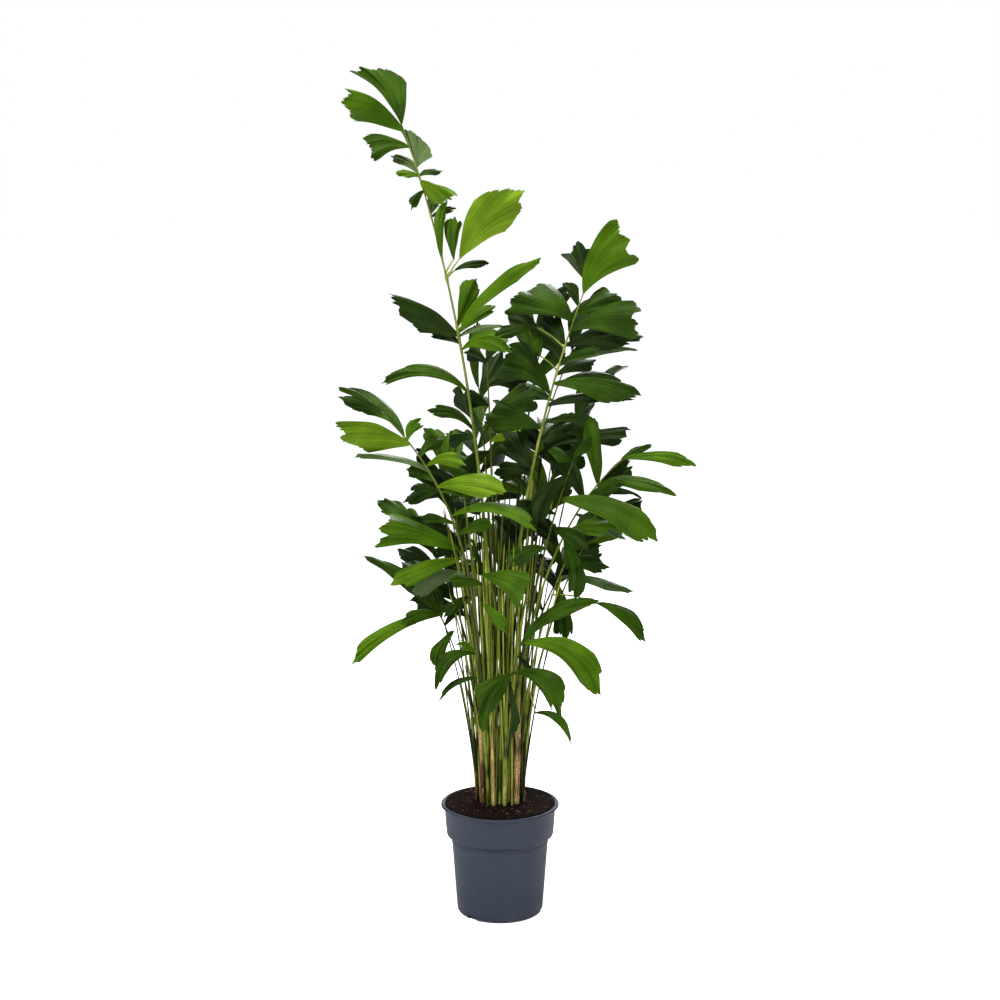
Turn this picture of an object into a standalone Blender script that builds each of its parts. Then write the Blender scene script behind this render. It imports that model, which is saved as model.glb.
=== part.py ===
"""Fishtail palm in a nursery pot: a clump of slender shoots carrying fronds of jagged, wedge-shaped leaflets.

The frame: +Z up, the origin at the centre of the pot's flat underside, the plant's fuller face toward -Y.
Lengths in the tables are centimetres, as a grower writes them; CM turns them into metres.
"""

import math
import random
from dataclasses import dataclass, replace

import bmesh
import bpy
from mathutils import Quaternion, Vector
from mathutils.bvhtree import BVHTree

CM = 0.01
SMOOTH_ANGLE = math.radians(46)
GAP = 0.0003  # what two touching pieces leave between them
UP = Vector((0.0, 0.0, 1.0))
FRONT = Vector((0.0, -1.0, 0.0))

# The pot: a thin thermoformed container with a rolled lip, a wide band under it and a tapering body.
POT_HEIGHT = 0.229
POT_SIDES = 32
LIP_RADIUS = 0.120
LIP_DEPTH = 0.006
LIP_OPENING = 0.1115
BAND_RADIUS = 0.113
BAND_FOOT = 0.164  # how high the band ends and the body steps in
BODY_RADIUS = 0.0985
BASE_RADIUS = 0.0875
BASE_ROUND = 0.010
BAND_STEP = 0.005
BAND_TAPER = 0.0045
DRAIN_NOTCHES = 3
NOTCH_TURN = 0.904
NOTCH_SIZE = (0.020, 0.022, 0.018)
WALL = 0.0025
FLOOR = 0.004
SOIL_TOP = 0.2285
SOIL_CROWN = 0.070  # the level middle of the soil, which the shoots stand on
SOIL_SAG = 0.0025

SHOOT_SIDES = 8
FLARE = 1.1  # how much wider a shoot is at the soil
FLARE_HEIGHT = 0.02
SHOOT_OVAL = 1.12  # how much thicker a shoot is at its foot and at its middle than at its top
STALK_SIDES = 4
RACHIS_SIDES = 5
SEAT_ROOM = 0.06  # cm between petioles that share a shoot's top, as far as its middle
RACHIS_STEP = 0.12
RACHIS_TIP = 0.0014
WIDE_LEAF = 5.5  # cm: a wider leaflet has more ribs
WAIST = 0.55  # how far out a leaflet's middle row of points lies
OWN_START = 0.3  # from here on a leaflet stays clear of its own frond too
SUNK = 0.0008  # how far past the middle of its limb a leaflet's foot reaches
TAIL_CURVE = 1.2  # how its jagged edge bends between its tail and its corners: over 1 it bulges
CUP = 0.9  # how far its edges droop
STALK_RADIUS = 0.0016
LEAF_THICKNESS = 0.0018
SLENDERNESS = 95.0  # the longest a leaflet is, in thicknesses
CLEARANCE = 0.0012  # what a leaflet keeps to another frond or shoot
TURNS_ASIDE = (0, 7, -7, 14, -14, 21, -21, 30, -30, 40, -40)  # degrees tried before a leaflet is skipped


@dataclass(frozen=True)
class Leaf:
    """A wedge-shaped leaflet. Its tail is at reach from its foot, and its jagged edge runs back from it."""

    height: float  # where it leaves the rachis, above the floor
    reach: tuple  # from its foot to its tail
    width: float
    spread: float = 0.0  # -1: the blade hangs below its long edge, 1: it stands above it, 0: both
    turn: float = 60.0  # degrees that its upper face turns from the sky to the front
    shoulder: float = 0.78  # how far its short side reaches, beside its tail
    arch: float = 0.08  # how high it rises over the straight line to its tail, as a part of its length
    stalk: tuple = (0.0, 0.0, 0.0)  # the branch of the rachis that it stands on

    @property
    def wedge(self):
        """How late it widens: under 1 it is broad early, as a slim leaflet is."""
        return min(0.95, 0.45 + 0.9 * self.width / Vector(self.reach).length)


@dataclass(frozen=True)
class Shoot:
    """A pseudostem of rolled leaf sheaths, from its flat cut on the soil to where its petioles part."""

    foot: tuple
    top: tuple
    girth: float  # its radius at the top


@dataclass(frozen=True)
class Frond:
    """A petiole that runs on as the rachis, with its leaflets. It passes through via half-way up."""

    name: str
    shoot: str
    via: tuple
    tip: tuple
    girth: float  # its radius at the foot
    leaves: tuple


SHOOTS = {
    "edge_left": Shoot((-4.7, -1.0), (-5.8, -1.4, 43), 0.27),
    "front_left": Shoot((-3.4, -2.7), (-4.2, -3.6, 48), 0.42),
    "front_slim": Shoot((-2.3, -3.4), (-3.3, -4.8, 40), 0.28),
    "front_middle": Shoot((-1.3, -3.9), (-1.9, -5.2, 45), 0.36),
    "front_green": Shoot((-0.1, -3.4), (0.5, -4.4, 44), 0.30),
    "front_right": Shoot((0.9, -4.0), (1.3, -5.6, 43), 0.36),
    "tall_left": Shoot((-0.4, -1.5), (-1.7, -1.6, 60), 0.54),
    "tall_right": Shoot((1.5, -1.8), (2.3, -1.8, 60), 0.54),
    "stout_right": Shoot((3.3, -2.8), (3.7, -3.4, 47), 0.60),
    "edge_right": Shoot((4.8, -1.2), (5.4, -1.2, 45), 0.28),
    "middle_left": Shoot((-2.5, -0.8), (-3.7, -0.4, 52), 0.44),
    "middle_right": Shoot((3.1, 0.6), (4.2, 1.4, 52), 0.46),
    "heart": Shoot((-0.8, 0.9), (-0.9, 2.2, 56), 0.46),
    "heart_right": Shoot((1.2, 1.5), (1.7, 3.4, 54), 0.46),
    "back_left": Shoot((-3.2, 1.4), (-4.8, 3.4, 48), 0.44),
    "back_middle": Shoot((-1.0, 3.2), (-1.6, 6.0, 46), 0.44),
    "back_right": Shoot((1.9, 3.6), (3.0, 6.6, 46), 0.44),
    "far_right": Shoot((4.5, 2.3), (6.4, 4.2, 44), 0.42),
}

FRONDS = (
    Frond("frond_tall_left", "tall_left", (-7.6, 0.5, 115), (-19.3, 3.0, 159.2), 0.42, (
        Leaf(158.8, (-9.8, 2, 10.0), 5.6, spread=1, turn=80, shoulder=0.45),
        Leaf(157.5, (-11.0, -2, 8.0), 5.6, spread=-1, turn=85, shoulder=0.7),
        Leaf(154.4, (-7.4, -4, -2.0), 6.6, spread=0.5, turn=78, shoulder=0.92),
        Leaf(150.5, (-3.3, 3, 7.6), 4.0, spread=1, turn=80, shoulder=0.08),
        Leaf(149.3, (-5.6, 4, 3.5), 2.6, turn=45, shoulder=0.7),
        Leaf(148.8, (-4.4, -4, 0.4), 2.8, turn=60, shoulder=0.7),
        Leaf(148.9, (4.4, 5, 0.8), 2.4, turn=50, shoulder=0.7),
        Leaf(148, (7.8, -5, -2.7), 4.4, spread=-0.8, turn=75, shoulder=0.35),
        Leaf(146, (-2.2, -3, -3.6), 2.4, turn=70),
        Leaf(141.5, (0.6, 4, 3.2), 3.2, turn=15, shoulder=0.85),
        Leaf(141, (4.8, 4, 1.6), 1.4),
        Leaf(133, (1.3, 1, 11), 2.6, turn=70),
        Leaf(129, (12.2, -3, 13.0), 9.4, turn=82, stalk=(2.6, -0.6, 4.0), shoulder=0.6),
        Leaf(130, (0.2, 2, 8.2), 3.8, turn=10, shoulder=0.9, stalk=(1.6, 0.8, 2.8)),
        Leaf(129, (0.5, 2, 9.0), 2.4, turn=60, stalk=(0.4, 0.6, 1.2)),
        Leaf(129, (6.6, 4, 1.2), 2.0, stalk=(1.6, 1.8, 1.6)),
        Leaf(119.6, (4.0, 4, 9.2), 5.4, turn=80, shoulder=0.85),
        Leaf(119, (15.4, -3, 13.2), 3.6, turn=65, shoulder=0.72, stalk=(0.8, -0.8, 0.8)),
        Leaf(118.4, (7.4, 5, 5.2), 2.8, turn=50, shoulder=0.75),
        Leaf(117.6, (9.0, 2, 1.8), 2.2, turn=40, shoulder=0.6),
        Leaf(118, (-13.0, -3, 8.4), 4.2, spread=-1, turn=65, shoulder=0.45),
        Leaf(116.3, (-6.6, 4, 3.0), 3.4, turn=55),
        Leaf(115, (9.8, -6, 0.4), 5.0, turn=70, arch=0.16, shoulder=0.65),
        Leaf(106.5, (-16.8, -2, 2.4), 3.8, spread=0.5, turn=60, arch=0.17, shoulder=0.55),
        Leaf(99, (-9.0, -4, 4.8), 3.2, turn=60, arch=0.16),
        Leaf(97.5, (-5.4, 5, -1.0), 3.6, turn=50),
    )),
    Frond("frond_tall_right", "tall_right", (7.0, -3.2, 95), (17.0, -5.0, 129), 0.45, (
        Leaf(126.6, (6.0, -3, 14.0), 8.2, spread=-0.85, turn=80, shoulder=0.64),
        Leaf(128.4, (-1.8, 5, 7.4), 7.6, turn=12, shoulder=0.9),
        Leaf(124, (-2.8, 3, 4.4), 3.2, turn=70),
        Leaf(121, (-13.2, -5, 2.4), 8.2, spread=0.9, turn=80, shoulder=0.24),
        Leaf(122.6, (9.4, 5, 2.2), 8.0, turn=74, shoulder=0.85),
        Leaf(119.4, (13.2, -4, 4.2), 8.2, spread=-0.5, turn=76, shoulder=0.82),
        Leaf(116.4, (15.0, 1, 1.6), 5.4, turn=66, shoulder=0.6),
        Leaf(116.5, (-4.0, 3, 5.5), 5.0, turn=70),
        Leaf(116, (-8.2, -2, -1.2), 3.0, turn=50, stalk=(-5.2, -1.4, 4.0)),
        Leaf(116, (-6.2, 3, 2.6), 3.6, turn=60, stalk=(-5.2, -1.4, 4.0)),
        Leaf(112.4, (15.4, 5, 2.6), 2.2, turn=50, arch=0.12, shoulder=0.5),
        Leaf(113, (7.4, -5, 3.4), 2.8, turn=55),
        Leaf(111.5, (-1.2, 2, 4.6), 3.2, turn=15, stalk=(-3.4, -1.2, 3.0), shoulder=0.7),
        Leaf(111.5, (-6.0, 4, 1.0), 3.6, turn=60, stalk=(-3.4, -1.2, 3.0)),
        Leaf(110.6, (8.0, 8, 2.0), 3.4, turn=45),
        Leaf(109, (16.6, -3, -1.8), 4.4, spread=-0.5, turn=55, arch=0.13, shoulder=0.6),
        Leaf(106.6, (-11.6, -6, 9.0), 9.4, turn=78, arch=0.12, shoulder=0.9),
        Leaf(104.5, (17.0, 2, 0.8), 3.4, turn=50, shoulder=0.55),
        Leaf(100, (-11.0, -4, 3.2), 7.4, turn=76, shoulder=0.85),
        Leaf(97, (7.0, 6, 3.0), 3.8, turn=50, shoulder=0.7),
        Leaf(92, (-5.4, 4, 6.4), 8.0, turn=80, shoulder=0.85),
    )),
    Frond("frond_behind_right", "middle_right", (6.0, 6.4, 86), (15.0, 11.0, 115), 0.34, (
        Leaf(114, (4.0, 6, 10.0), 6.0, turn=20),
        Leaf(112, (10.5, 6, 4.0), 5.0, turn=45),
        Leaf(111, (-7.0, 7, 6.5), 5.5, turn=60),
        Leaf(107, (13.0, 5, 0.5), 4.6, turn=50),
        Leaf(104, (-9.0, 6, 1.5), 5.0, turn=60),
        Leaf(100, (10.5, 2, -2.0), 5.2, turn=65),
        Leaf(97, (2.0, 10, 2.0), 5.0, turn=30),
        Leaf(93, (8.0, 0, 3.8), 5.2, turn=70),
        Leaf(91.6, (2.2, -3, 5.2), 3.2, turn=78),
        Leaf(90, (-8.0, 4, -1.0), 5.0, turn=60),
    )),
    Frond("frond_mid_left", "front_left", (-8.8, -6.0, 81), (-23.4, -7.5, 104), 0.36, (
        Leaf(103.5, (-8.4, -2, 3.4), 3.0, turn=50, shoulder=0.5),
        Leaf(102, (-6.8, 4, 2.4), 2.4, turn=40),
        Leaf(99, (-15.0, 3, 8.6), 3.2, spread=0.5, turn=50, shoulder=0.55),
        Leaf(98.2, (2.6, 3, 4.2), 3.6, turn=20, shoulder=0.75),
        Leaf(97.5, (-13.8, -5, 4.8), 5.6, spread=-0.9, turn=78, shoulder=0.5),
        Leaf(95, (4.4, 5, 2.6), 3.4, turn=60),
        Leaf(93, (7.6, -5, 1.2), 3.2, turn=65, arch=0.14),
        Leaf(92, (6.2, 4, -3.4), 3.2, turn=60),
        Leaf(91.8, (-14.4, -3, 3.6), 2.8, spread=0.5, turn=50, shoulder=0.55),
        Leaf(90, (-5.8, 4, 2.0), 3.8, turn=60, shoulder=0.85),
        Leaf(89, (13.4, -7, 0.2), 5.4, turn=70, arch=0.08, shoulder=0.65),
        Leaf(88, (7.2, 2, -1.0), 2.6, turn=55),
        Leaf(88.2, (-6.2, -4, -0.8), 4.6, turn=65, shoulder=0.7),
        Leaf(87, (-8.2, 5, -2.0), 2.2),
        Leaf(85, (6.4, 4, -1.8), 3.0, turn=50),
        Leaf(83, (16.4, -6, -1.6), 3.8, spread=0.5, turn=60, arch=0.12),
        Leaf(79, (6.6, -6, 3.4), 3.0, turn=60),
        Leaf(81.5, (-6.6, 4, 0.6), 2.4, turn=60, shoulder=0.95),
    )),
    Frond("frond_low_left", "edge_left", (-8.4, -1.4, 53), (-12.2, -1.0, 62.5), 0.24, (
        Leaf(62.5, (-14.8, 2, 11.2), 3.4, turn=60, arch=0.1, shoulder=0.45),
        Leaf(62.2, (-7.4, -4, -0.8), 3.4, turn=60),
        Leaf(62.0, (-17.2, -6, -8.4), 3.4, spread=0.5, turn=55, arch=0.1),
        Leaf(61.5, (-1.4, 4, 5.8), 3.0, turn=15),
        Leaf(60, (3.6, 3, 3.4), 2.2, turn=60),
        Leaf(58.5, (-3.4, -2, -7.2), 3.8, turn=75, stalk=(1.2, -0.8, 0.6)),
    )),
    Frond("frond_left", "middle_left", (-5.8, -1.4, 63), (-8.0, -3.4, 76), 0.30, (
        Leaf(75.5, (-17.0, -5, 2.4), 6.8, spread=0.9, turn=78, arch=0.08, shoulder=0.75),
        Leaf(75.2, (-6.0, 5, -0.6), 3.0, turn=50),
        Leaf(75.8, (3.0, 3, 6.5), 4.0, turn=70),
        Leaf(74, (-13.4, -7, -3.6), 4.2, turn=62, arch=0.06),
        Leaf(71, (-11.4, 2, -2.2), 5.6, spread=-0.5, turn=68, arch=0.14),
        Leaf(70, (-5.0, 6, 2.6), 3.0, turn=50),
        Leaf(66, (-4.6, -5, -3.0), 3.0, turn=60),
    )),
    Frond("frond_right", "stout_right", (11.4, -1.4, 75.5), (24.6, 1.0, 93.5), 0.34, (
        Leaf(93.4, (13.8, -4, -0.4), 3.0, turn=50),
        Leaf(93, (6.4, 5, 2.6), 2.0, turn=40, shoulder=0.5),
        Leaf(88.4, (-1.4, 2, 13.2), 5.6, turn=12, shoulder=0.7),
        Leaf(88, (15.4, -5, -1.0), 3.4, turn=50, arch=0.13, shoulder=0.62),
        Leaf(86.5, (10.6, 5, -1.4), 2.4, turn=40, shoulder=0.5),
        Leaf(85, (-6.6, 4, 8.8), 4.6, turn=65),
        Leaf(84, (8.0, -2, 6.0), 3.0, turn=60),
        Leaf(82.5, (9.8, 2, -5.4), 2.6, turn=55),
        Leaf(78.5, (9.4, -6, 2.8), 4.4, turn=62, arch=0.1, shoulder=0.75),
        Leaf(78, (2.0, -3, -7.0), 4.2, turn=15),
        Leaf(76, (-4.6, 4, 5.0), 4.6, turn=60),
    )),
    Frond("frond_low_right", "edge_right", (9.2, -0.4, 62), (15.0, 2.0, 76.5), 0.28, (
        Leaf(76, (5.0, 4, 6.0), 4.0, turn=60),
        Leaf(75.4, (0.6, -5, -9.4), 4.2, turn=15, arch=0.1),
        Leaf(71.2, (9.4, 5, -1.0), 4.0, turn=56, shoulder=0.75),
        Leaf(69.5, (14.6, 1, -3.2), 2.8, turn=50, shoulder=0.7),
        Leaf(68.4, (1.6, -4, -10.8), 4.4, turn=12, arch=0.06, shoulder=0.85),
        Leaf(62.6, (3.2, 3, -5.0), 2.4, turn=60),
        Leaf(66, (9.4, -4, -6.8), 4.0, spread=0.5, turn=60, arch=0.1, stalk=(8.6, -5.0, -0.6), shoulder=0.6),
        Leaf(47, (7.0, -4, -5.6), 2.0, turn=56, arch=0.28, stalk=(1.4, -1.6, -4.6), shoulder=0.5),
    )),
    Frond("frond_front", "front_middle", (-2.7, -7.4, 60), (-3.6, -9.0, 72.4), 0.28, (
        Leaf(72, (7.8, -5, -5.4), 7.2, spread=0.6, turn=78, arch=0.12, shoulder=0.75),
        Leaf(72.2, (-2.0, -2, 7.4), 4.0, turn=70),
        Leaf(70, (-6.8, -5, 1.8), 3.6, turn=60),
        Leaf(66, (4.2, -5, -4.6), 3.0, turn=60),
    )),
    Frond("frond_front_low", "front_right", (1.5, -7.0, 48), (2.2, -8.4, 52), 0.26, (
        Leaf(51.8, (-5.4, -7, -9.4), 7.8, turn=76, arch=0.22, shoulder=0.55),
        Leaf(51.9, (9.8, -7, -6.8), 5.8, turn=70, arch=0.24, shoulder=0.75),
        Leaf(51, (0.6, -4, -11.4), 3.6, turn=65, arch=0.12),
    )),
    Frond("frond_reaching_right", "front_green", (2.6, -6.0, 52), (4.4, -7.4, 58), 0.24, (
        Leaf(57.9, (15.2, -6, -8.6), 6.6, turn=70, arch=0.22),
        Leaf(57.6, (15.0, 1, 8.6), 3.8, turn=60, arch=0.12, shoulder=0.7),
        Leaf(55, (4.0, 2, -5.6), 3.0, turn=60),
    )),
    Frond("frond_curled_left", "front_slim", (-4.3, -6.2, 49), (-4.9, -7.2, 56), 0.22, (
        Leaf(55.6, (-7.8, -4, -5.8), 3.6, turn=62, arch=0.28, shoulder=0.7),
        Leaf(55.8, (-3.4, -5, 3.0), 2.6, turn=60),
        Leaf(50.5, (-7.8, -1, -4.6), 1.8, turn=50, arch=0.22, shoulder=0.5),
    )),
    Frond("frond_right_centre", "middle_right", (8.8, -1.8, 75), (14.4, -4.6, 94), 0.32, (
        Leaf(93.8, (4.0, -4, 5.0), 4.6, turn=70),
        Leaf(93.5, (-4.6, -4, 3.0), 4.6, turn=65),
        Leaf(91, (-6.4, -4, -9.0), 5.0, turn=70, arch=0.1),
        Leaf(86, (18.6, -7, -6.8), 6.4, turn=66, arch=0.14),
        Leaf(83, (-8.6, -6, 1.0), 5.0, turn=65),
        Leaf(80, (7.0, -6, -3.0), 4.4, turn=60),
        Leaf(76, (-7.6, -6, -2.0), 4.4, turn=60),
    )),
    Frond("frond_heart", "heart", (-1.6, 6.4, 87), (-2.6, 8.6, 112), 0.36, (
        Leaf(111.5, (-4.8, 3, 2.2), 4.0, turn=60),
        Leaf(112, (3.0, 5, 5.4), 5.0, turn=20),
        Leaf(107, (8.6, 5, 1.6), 5.0, turn=60),
        Leaf(103, (-6.4, 6, 1.0), 5.0, turn=60),
        Leaf(101, (9.6, -2, 5.0), 7.4, turn=75, shoulder=0.85),
        Leaf(96, (6.8, -2, 2.6), 4.6, turn=78),
        Leaf(94, (-5.6, 3, -3.8), 5.0, turn=65),
        Leaf(90, (8.8, 4, -1.4), 5.0, turn=55),
        Leaf(86, (-7.8, -1, 2.0), 5.0, turn=60),
        Leaf(81, (6.0, -3, -5.0), 4.6, turn=65),
    )),
)

# The fronds that lean away from the front carry leaflets by habit: see by_habit().
BACK_FRONDS = (
    Frond("frond_back_upright", "heart", (-2.6, 9.5, 86), (-4.4, 16.0, 106), 0.32, ()),
    Frond("frond_back_tall", "heart_right", (4.4, 11.0, 90), (9.0, 19.0, 117), 0.34, ()),
    Frond("frond_back_right_tall", "heart_right", (8.4, 8.4, 82), (17.0, 14.5, 102), 0.32, ()),
    Frond("frond_back_left", "back_left", (-7.6, 9.4, 72), (-11.8, 17.0, 87), 0.30, ()),
    Frond("frond_far_left", "back_left", (-10.2, 5.6, 66), (-16.4, 8.6, 77), 0.28, ()),
    Frond("frond_rear", "back_middle", (-3.4, 16.0, 76), (-5.0, 26.0, 94), 0.30, ()),
    Frond("frond_rear_low", "back_middle", (-0.4, 15.6, 62), (1.0, 26.0, 72), 0.28, ()),
    Frond("frond_rear_right", "back_right", (7.4, 14.4, 74), (12.6, 23.0, 91), 0.30, ()),
    Frond("frond_rear_right_low", "back_right", (8.8, 12.0, 60), (15.0, 19.0, 71), 0.28, ()),
    Frond("frond_far_right", "far_right", (12.4, 7.4, 64), (20.0, 10.6, 79), 0.30, ()),
    Frond("frond_back_left_low", "middle_left", (-7.0, 6.6, 60), (-12.0, 13.0, 66), 0.26, ()),
)
HABIT_LEAVES = 7
HABIT_FIRST = 0.5  # where along the rachis the lowest of them stands
HABIT_LENGTH = (11.0, 15.0)
HABIT_WIDTH = (4.4, 6.0)


def limb_point(foot, via, tip, t):
    """A point of the smooth limb from foot through via to tip, t of the way along it."""
    bend = via * 2 - (foot + tip) / 2
    return foot * (1 - t) ** 2 + bend * (2 * t * (1 - t)) + tip * t**2


def seat(frond):
    """Where a frond stands on its shoot's top, from the middle: alone there, or on its own side of it."""
    vias = [Vector(f.via[:2]) for f in FRONDS + BACK_FRONDS if f.shoot == frond.shoot]
    middle = sum(vias, Vector((0.0, 0.0))) / len(vias)
    side = Vector(frond.via[:2]) - middle
    return side.normalized() * (frond.girth + SEAT_ROOM) if len(vias) > 1 else side


def limb(frond):
    """The foot, the middle and the tip of a frond's rachis, in metres."""
    top = Vector(SHOOTS[frond.shoot].top)
    foot = (top + Vector((*seat(frond), 0.0))) * CM + UP * GAP
    return foot, Vector(frond.via) * CM, Vector(frond.tip) * CM


def height_along(frond, height):
    """How far along the rachis it reaches a height. The rachis climbs all the way, so halving finds it."""
    low, high = 0.0, 1.0
    for _ in range(20):
        middle = (low + high) / 2
        if limb_point(*limb(frond), middle).z < height * CM:
            low = middle
        else:
            high = middle
    return (low + high) / 2


def by_habit(frond, seed):
    """The leaflets that a frond carries by habit: in turn to each side, shorter and closer toward the tip."""
    rng = random.Random(seed)
    foot, via, tip = limb(frond)
    leaves = []
    for i in range(HABIT_LEAVES):
        t = HABIT_FIRST + (1 - HABIT_FIRST) * (i / (HABIT_LEAVES - 1)) ** 0.9
        place = limb_point(foot, via, tip, t)
        further = limb_point(foot, via, tip, min(t + 0.05, 1.0))
        along = (further - limb_point(foot, via, tip, t - 0.05)).normalized()
        outward = along.cross(UP).normalized() * (1 if i % 2 else -1)
        opening = math.radians(rng.uniform(45, 75)) * (1.15 - 0.75 * t) if i < HABIT_LEAVES - 1 else 0.0
        aim = along * math.cos(opening) + outward * math.sin(opening)
        aim += along.cross(outward) * rng.uniform(-0.45, 0.45) + UP * rng.uniform(-0.35, 0.05)
        reach = aim.normalized() * rng.uniform(*HABIT_LENGTH)
        leaves.append(Leaf(place.z / CM, tuple(reach), rng.uniform(*HABIT_WIDTH),
                           spread=rng.choice((-0.5, 0, 0.5)), turn=rng.uniform(15, 60),
                           arch=rng.uniform(0.06, 0.16)))
    return tuple(leaves)


def leaf_foot(frond, leaf):
    """Where a leaflet's blade starts: on the rachis, or at the end of its branch."""
    t = height_along(frond, leaf.height)
    return limb_point(*limb(frond), t), Vector(leaf.stalk) * CM


def blade_surface(foot, leaf, aside=0.0, proud=0.0):
    """The middle surface of a leaflet, and the way that its upper face looks.

    The surface is a function of u, from the lower edge (0) to the upper one (1), and step, from the foot (0)
    to the jagged edge (1). aside turns the leaflet about the upright through its foot, and proud makes it
    larger.
    """
    reach = Vector(leaf.reach) * CM
    reach.rotate(Quaternion(UP, math.radians(aside)))
    length, along = reach.length, reach.normalized()
    rise = UP - along * along.dot(UP)
    rise = rise.normalized() if rise.length > 0.05 else -FRONT
    across = along.cross(rise)
    if across.dot(FRONT) < 0:
        across = -across
    turn = math.radians(leaf.turn)
    face = rise * math.cos(turn) + across * math.sin(turn)
    side = rise * math.sin(turn) - across * math.cos(turn)
    width, tail = leaf.width * CM, (1 - leaf.spread) / 2

    def surface(u, step):
        off = abs(u - tail) / max(tail, 1 - tail)
        s = (1 - (1 - leaf.shoulder) * off**TAIL_CURVE) * step
        c = width * (u - tail) * step**leaf.wedge + (2 * u - 1) * (STALK_RADIUS * (1 - step) + proud)
        arch = rise * (4 * leaf.arch * length * s * (1 - s))
        return foot + along * (step * proud - (1 - step) * SUNK) + reach * s + arch + side * c - face * (
            CUP * c * c / width
        )

    return surface, face


def ribs(leaf):
    """Where a leaflet's ribs run: one ends in its tail, and a wide blade has more of them."""
    tail = (1 - leaf.spread) / 2
    if leaf.width <= WIDE_LEAF:
        return (0.0, tail if 0 < tail < 1 else 0.5, 1.0)
    if tail == 0.5:
        return (0.0, 0.25, 0.5, 0.75, 1.0)
    if tail in (0, 1):
        return (0.0, 0.33, 0.67, 1.0)
    return tuple(sorted((0.0, tail, tail / 2 if tail > 0.5 else 0.6, 1.0)))


def blade(foot, leaf, aside, thickness, proud=0.0, start=0.0):
    """The closed shell of a leaflet: it fans out from a narrow foot to its ribs, and is of one thickness.

    With a start it is only the part beyond that step, which is to stay clear of the frond's own limb.
    """
    surface, face = blade_surface(foot, leaf, aside, proud)
    columns = ribs(leaf)
    rows = [[surface(u, start) for u in (0.0, 1.0)]]
    rows += [[surface(u, step) for u in columns] for step in (WAIST, 1.0)]
    count = len(columns)
    lift = face * (thickness / 2)
    vertices = [p + lift for row in rows for p in row]
    under = len(vertices)
    vertices += [p - lift for row in rows for p in row]
    middle = count // 2
    sheet = [(0, 1, 2 + middle)]
    sheet += [(0 if j < middle else 1, 2 + j + 1, 2 + j) for j in range(count - 1)]
    sheet += [(2 + j, 3 + j, 3 + j + count, 2 + j + count) for j in range(count - 1)]
    last = 2 + count
    ring = [0, 1, 1 + count] + [last + j for j in range(count - 1, -1, -1)] + [2]
    faces = sheet + [tuple(under + k for k in f[::-1]) for f in sheet]
    faces += [(a, under + a, under + b, b) for a, b in zip(ring, ring[1:] + ring[:1])]
    return vertices, faces


def tube(points, radii, sides, level_ends=False):
    """The closed shell of a round limb through points: its first ring lies level, its last if level_ends."""
    vertices, faces = [], []
    for i, (point, radius) in enumerate(zip(points, radii)):
        tangent = (points[min(i + 1, len(points) - 1)] - points[max(i - 1, 0)]).normalized()
        if i == 0 or (level_ends and i == len(points) - 1):
            tangent = UP
        first = tangent.cross(FRONT).normalized()
        second = tangent.cross(first)
        for k in range(sides):
            angle = math.tau * k / sides
            vertices.append(point + (first * math.cos(angle) + second * math.sin(angle)) * radius)
        if i:
            a, b = (i - 1) * sides, i * sides
            faces += [(a + k, a + (k + 1) % sides, b + (k + 1) % sides, b + k) for k in range(sides)]
    faces += [tuple(range(sides))[::-1], tuple(range(len(vertices) - sides, len(vertices)))]
    return vertices, faces


def shoot_shell(shoot, proud=0.0):
    """A shoot, flared at its flat cut on the soil and tapering to its flat top."""
    foot = Vector((*shoot.foot, 0)) * CM + UP * (SOIL_TOP + GAP)
    top = Vector(shoot.top) * CM
    girth = shoot.girth * CM + proud
    points = [foot, foot + (top - foot) * (FLARE_HEIGHT / (top - foot).length), foot.lerp(top, 0.4), top]
    points[2] += Vector((foot.x - top.x, foot.y - top.y, 0)) * 0.12
    girths = (girth * FLARE * SHOOT_OVAL, girth * FLARE, girth * SHOOT_OVAL, girth)
    return tube(points, girths, SHOOT_SIDES, level_ends=True)


def rachis_shell(frond, proud=0.0):
    """The petiole and rachis of a frond, tapering from its foot to a thin tip."""
    foot, via, tip = limb(frond)
    steps = max(5, round((tip - foot).length / RACHIS_STEP))
    points = [limb_point(foot, via, tip, i / steps) for i in range(steps + 1)]
    girth, end = frond.girth * CM + proud, RACHIS_TIP + proud
    return tube(points, [girth + (end - girth) * (i / steps) ** 0.8 for i in range(steps + 1)], RACHIS_SIDES)


def stalk_shell(start, stalk, proud=0.0):
    """A side branch of the rachis, sunk in it at one end and in its leaflets at the other."""
    points = [start - stalk * 0.02, start + stalk * 0.5, start + stalk * 1.03]
    return tube(points, [STALK_RADIUS * k + proud for k in (1.15, 1.0, 0.85)], STALK_SIDES)


def tree(shell):
    """A search tree of a shell, and its box, to find what touches it."""
    vertices, faces = shell
    low = Vector([min(v[k] for v in vertices) for k in range(3)])
    high = Vector([max(v[k] for v in vertices) for k in range(3)])
    return BVHTree.FromPolygons(vertices, faces), low, high


def touch(one, other):
    """Whether two search trees' shells cross."""
    apart = any(one[1][k] > other[2][k] or other[1][k] > one[2][k] for k in range(3))
    return not apart and bool(one[0].overlap(other[0]))


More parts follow.
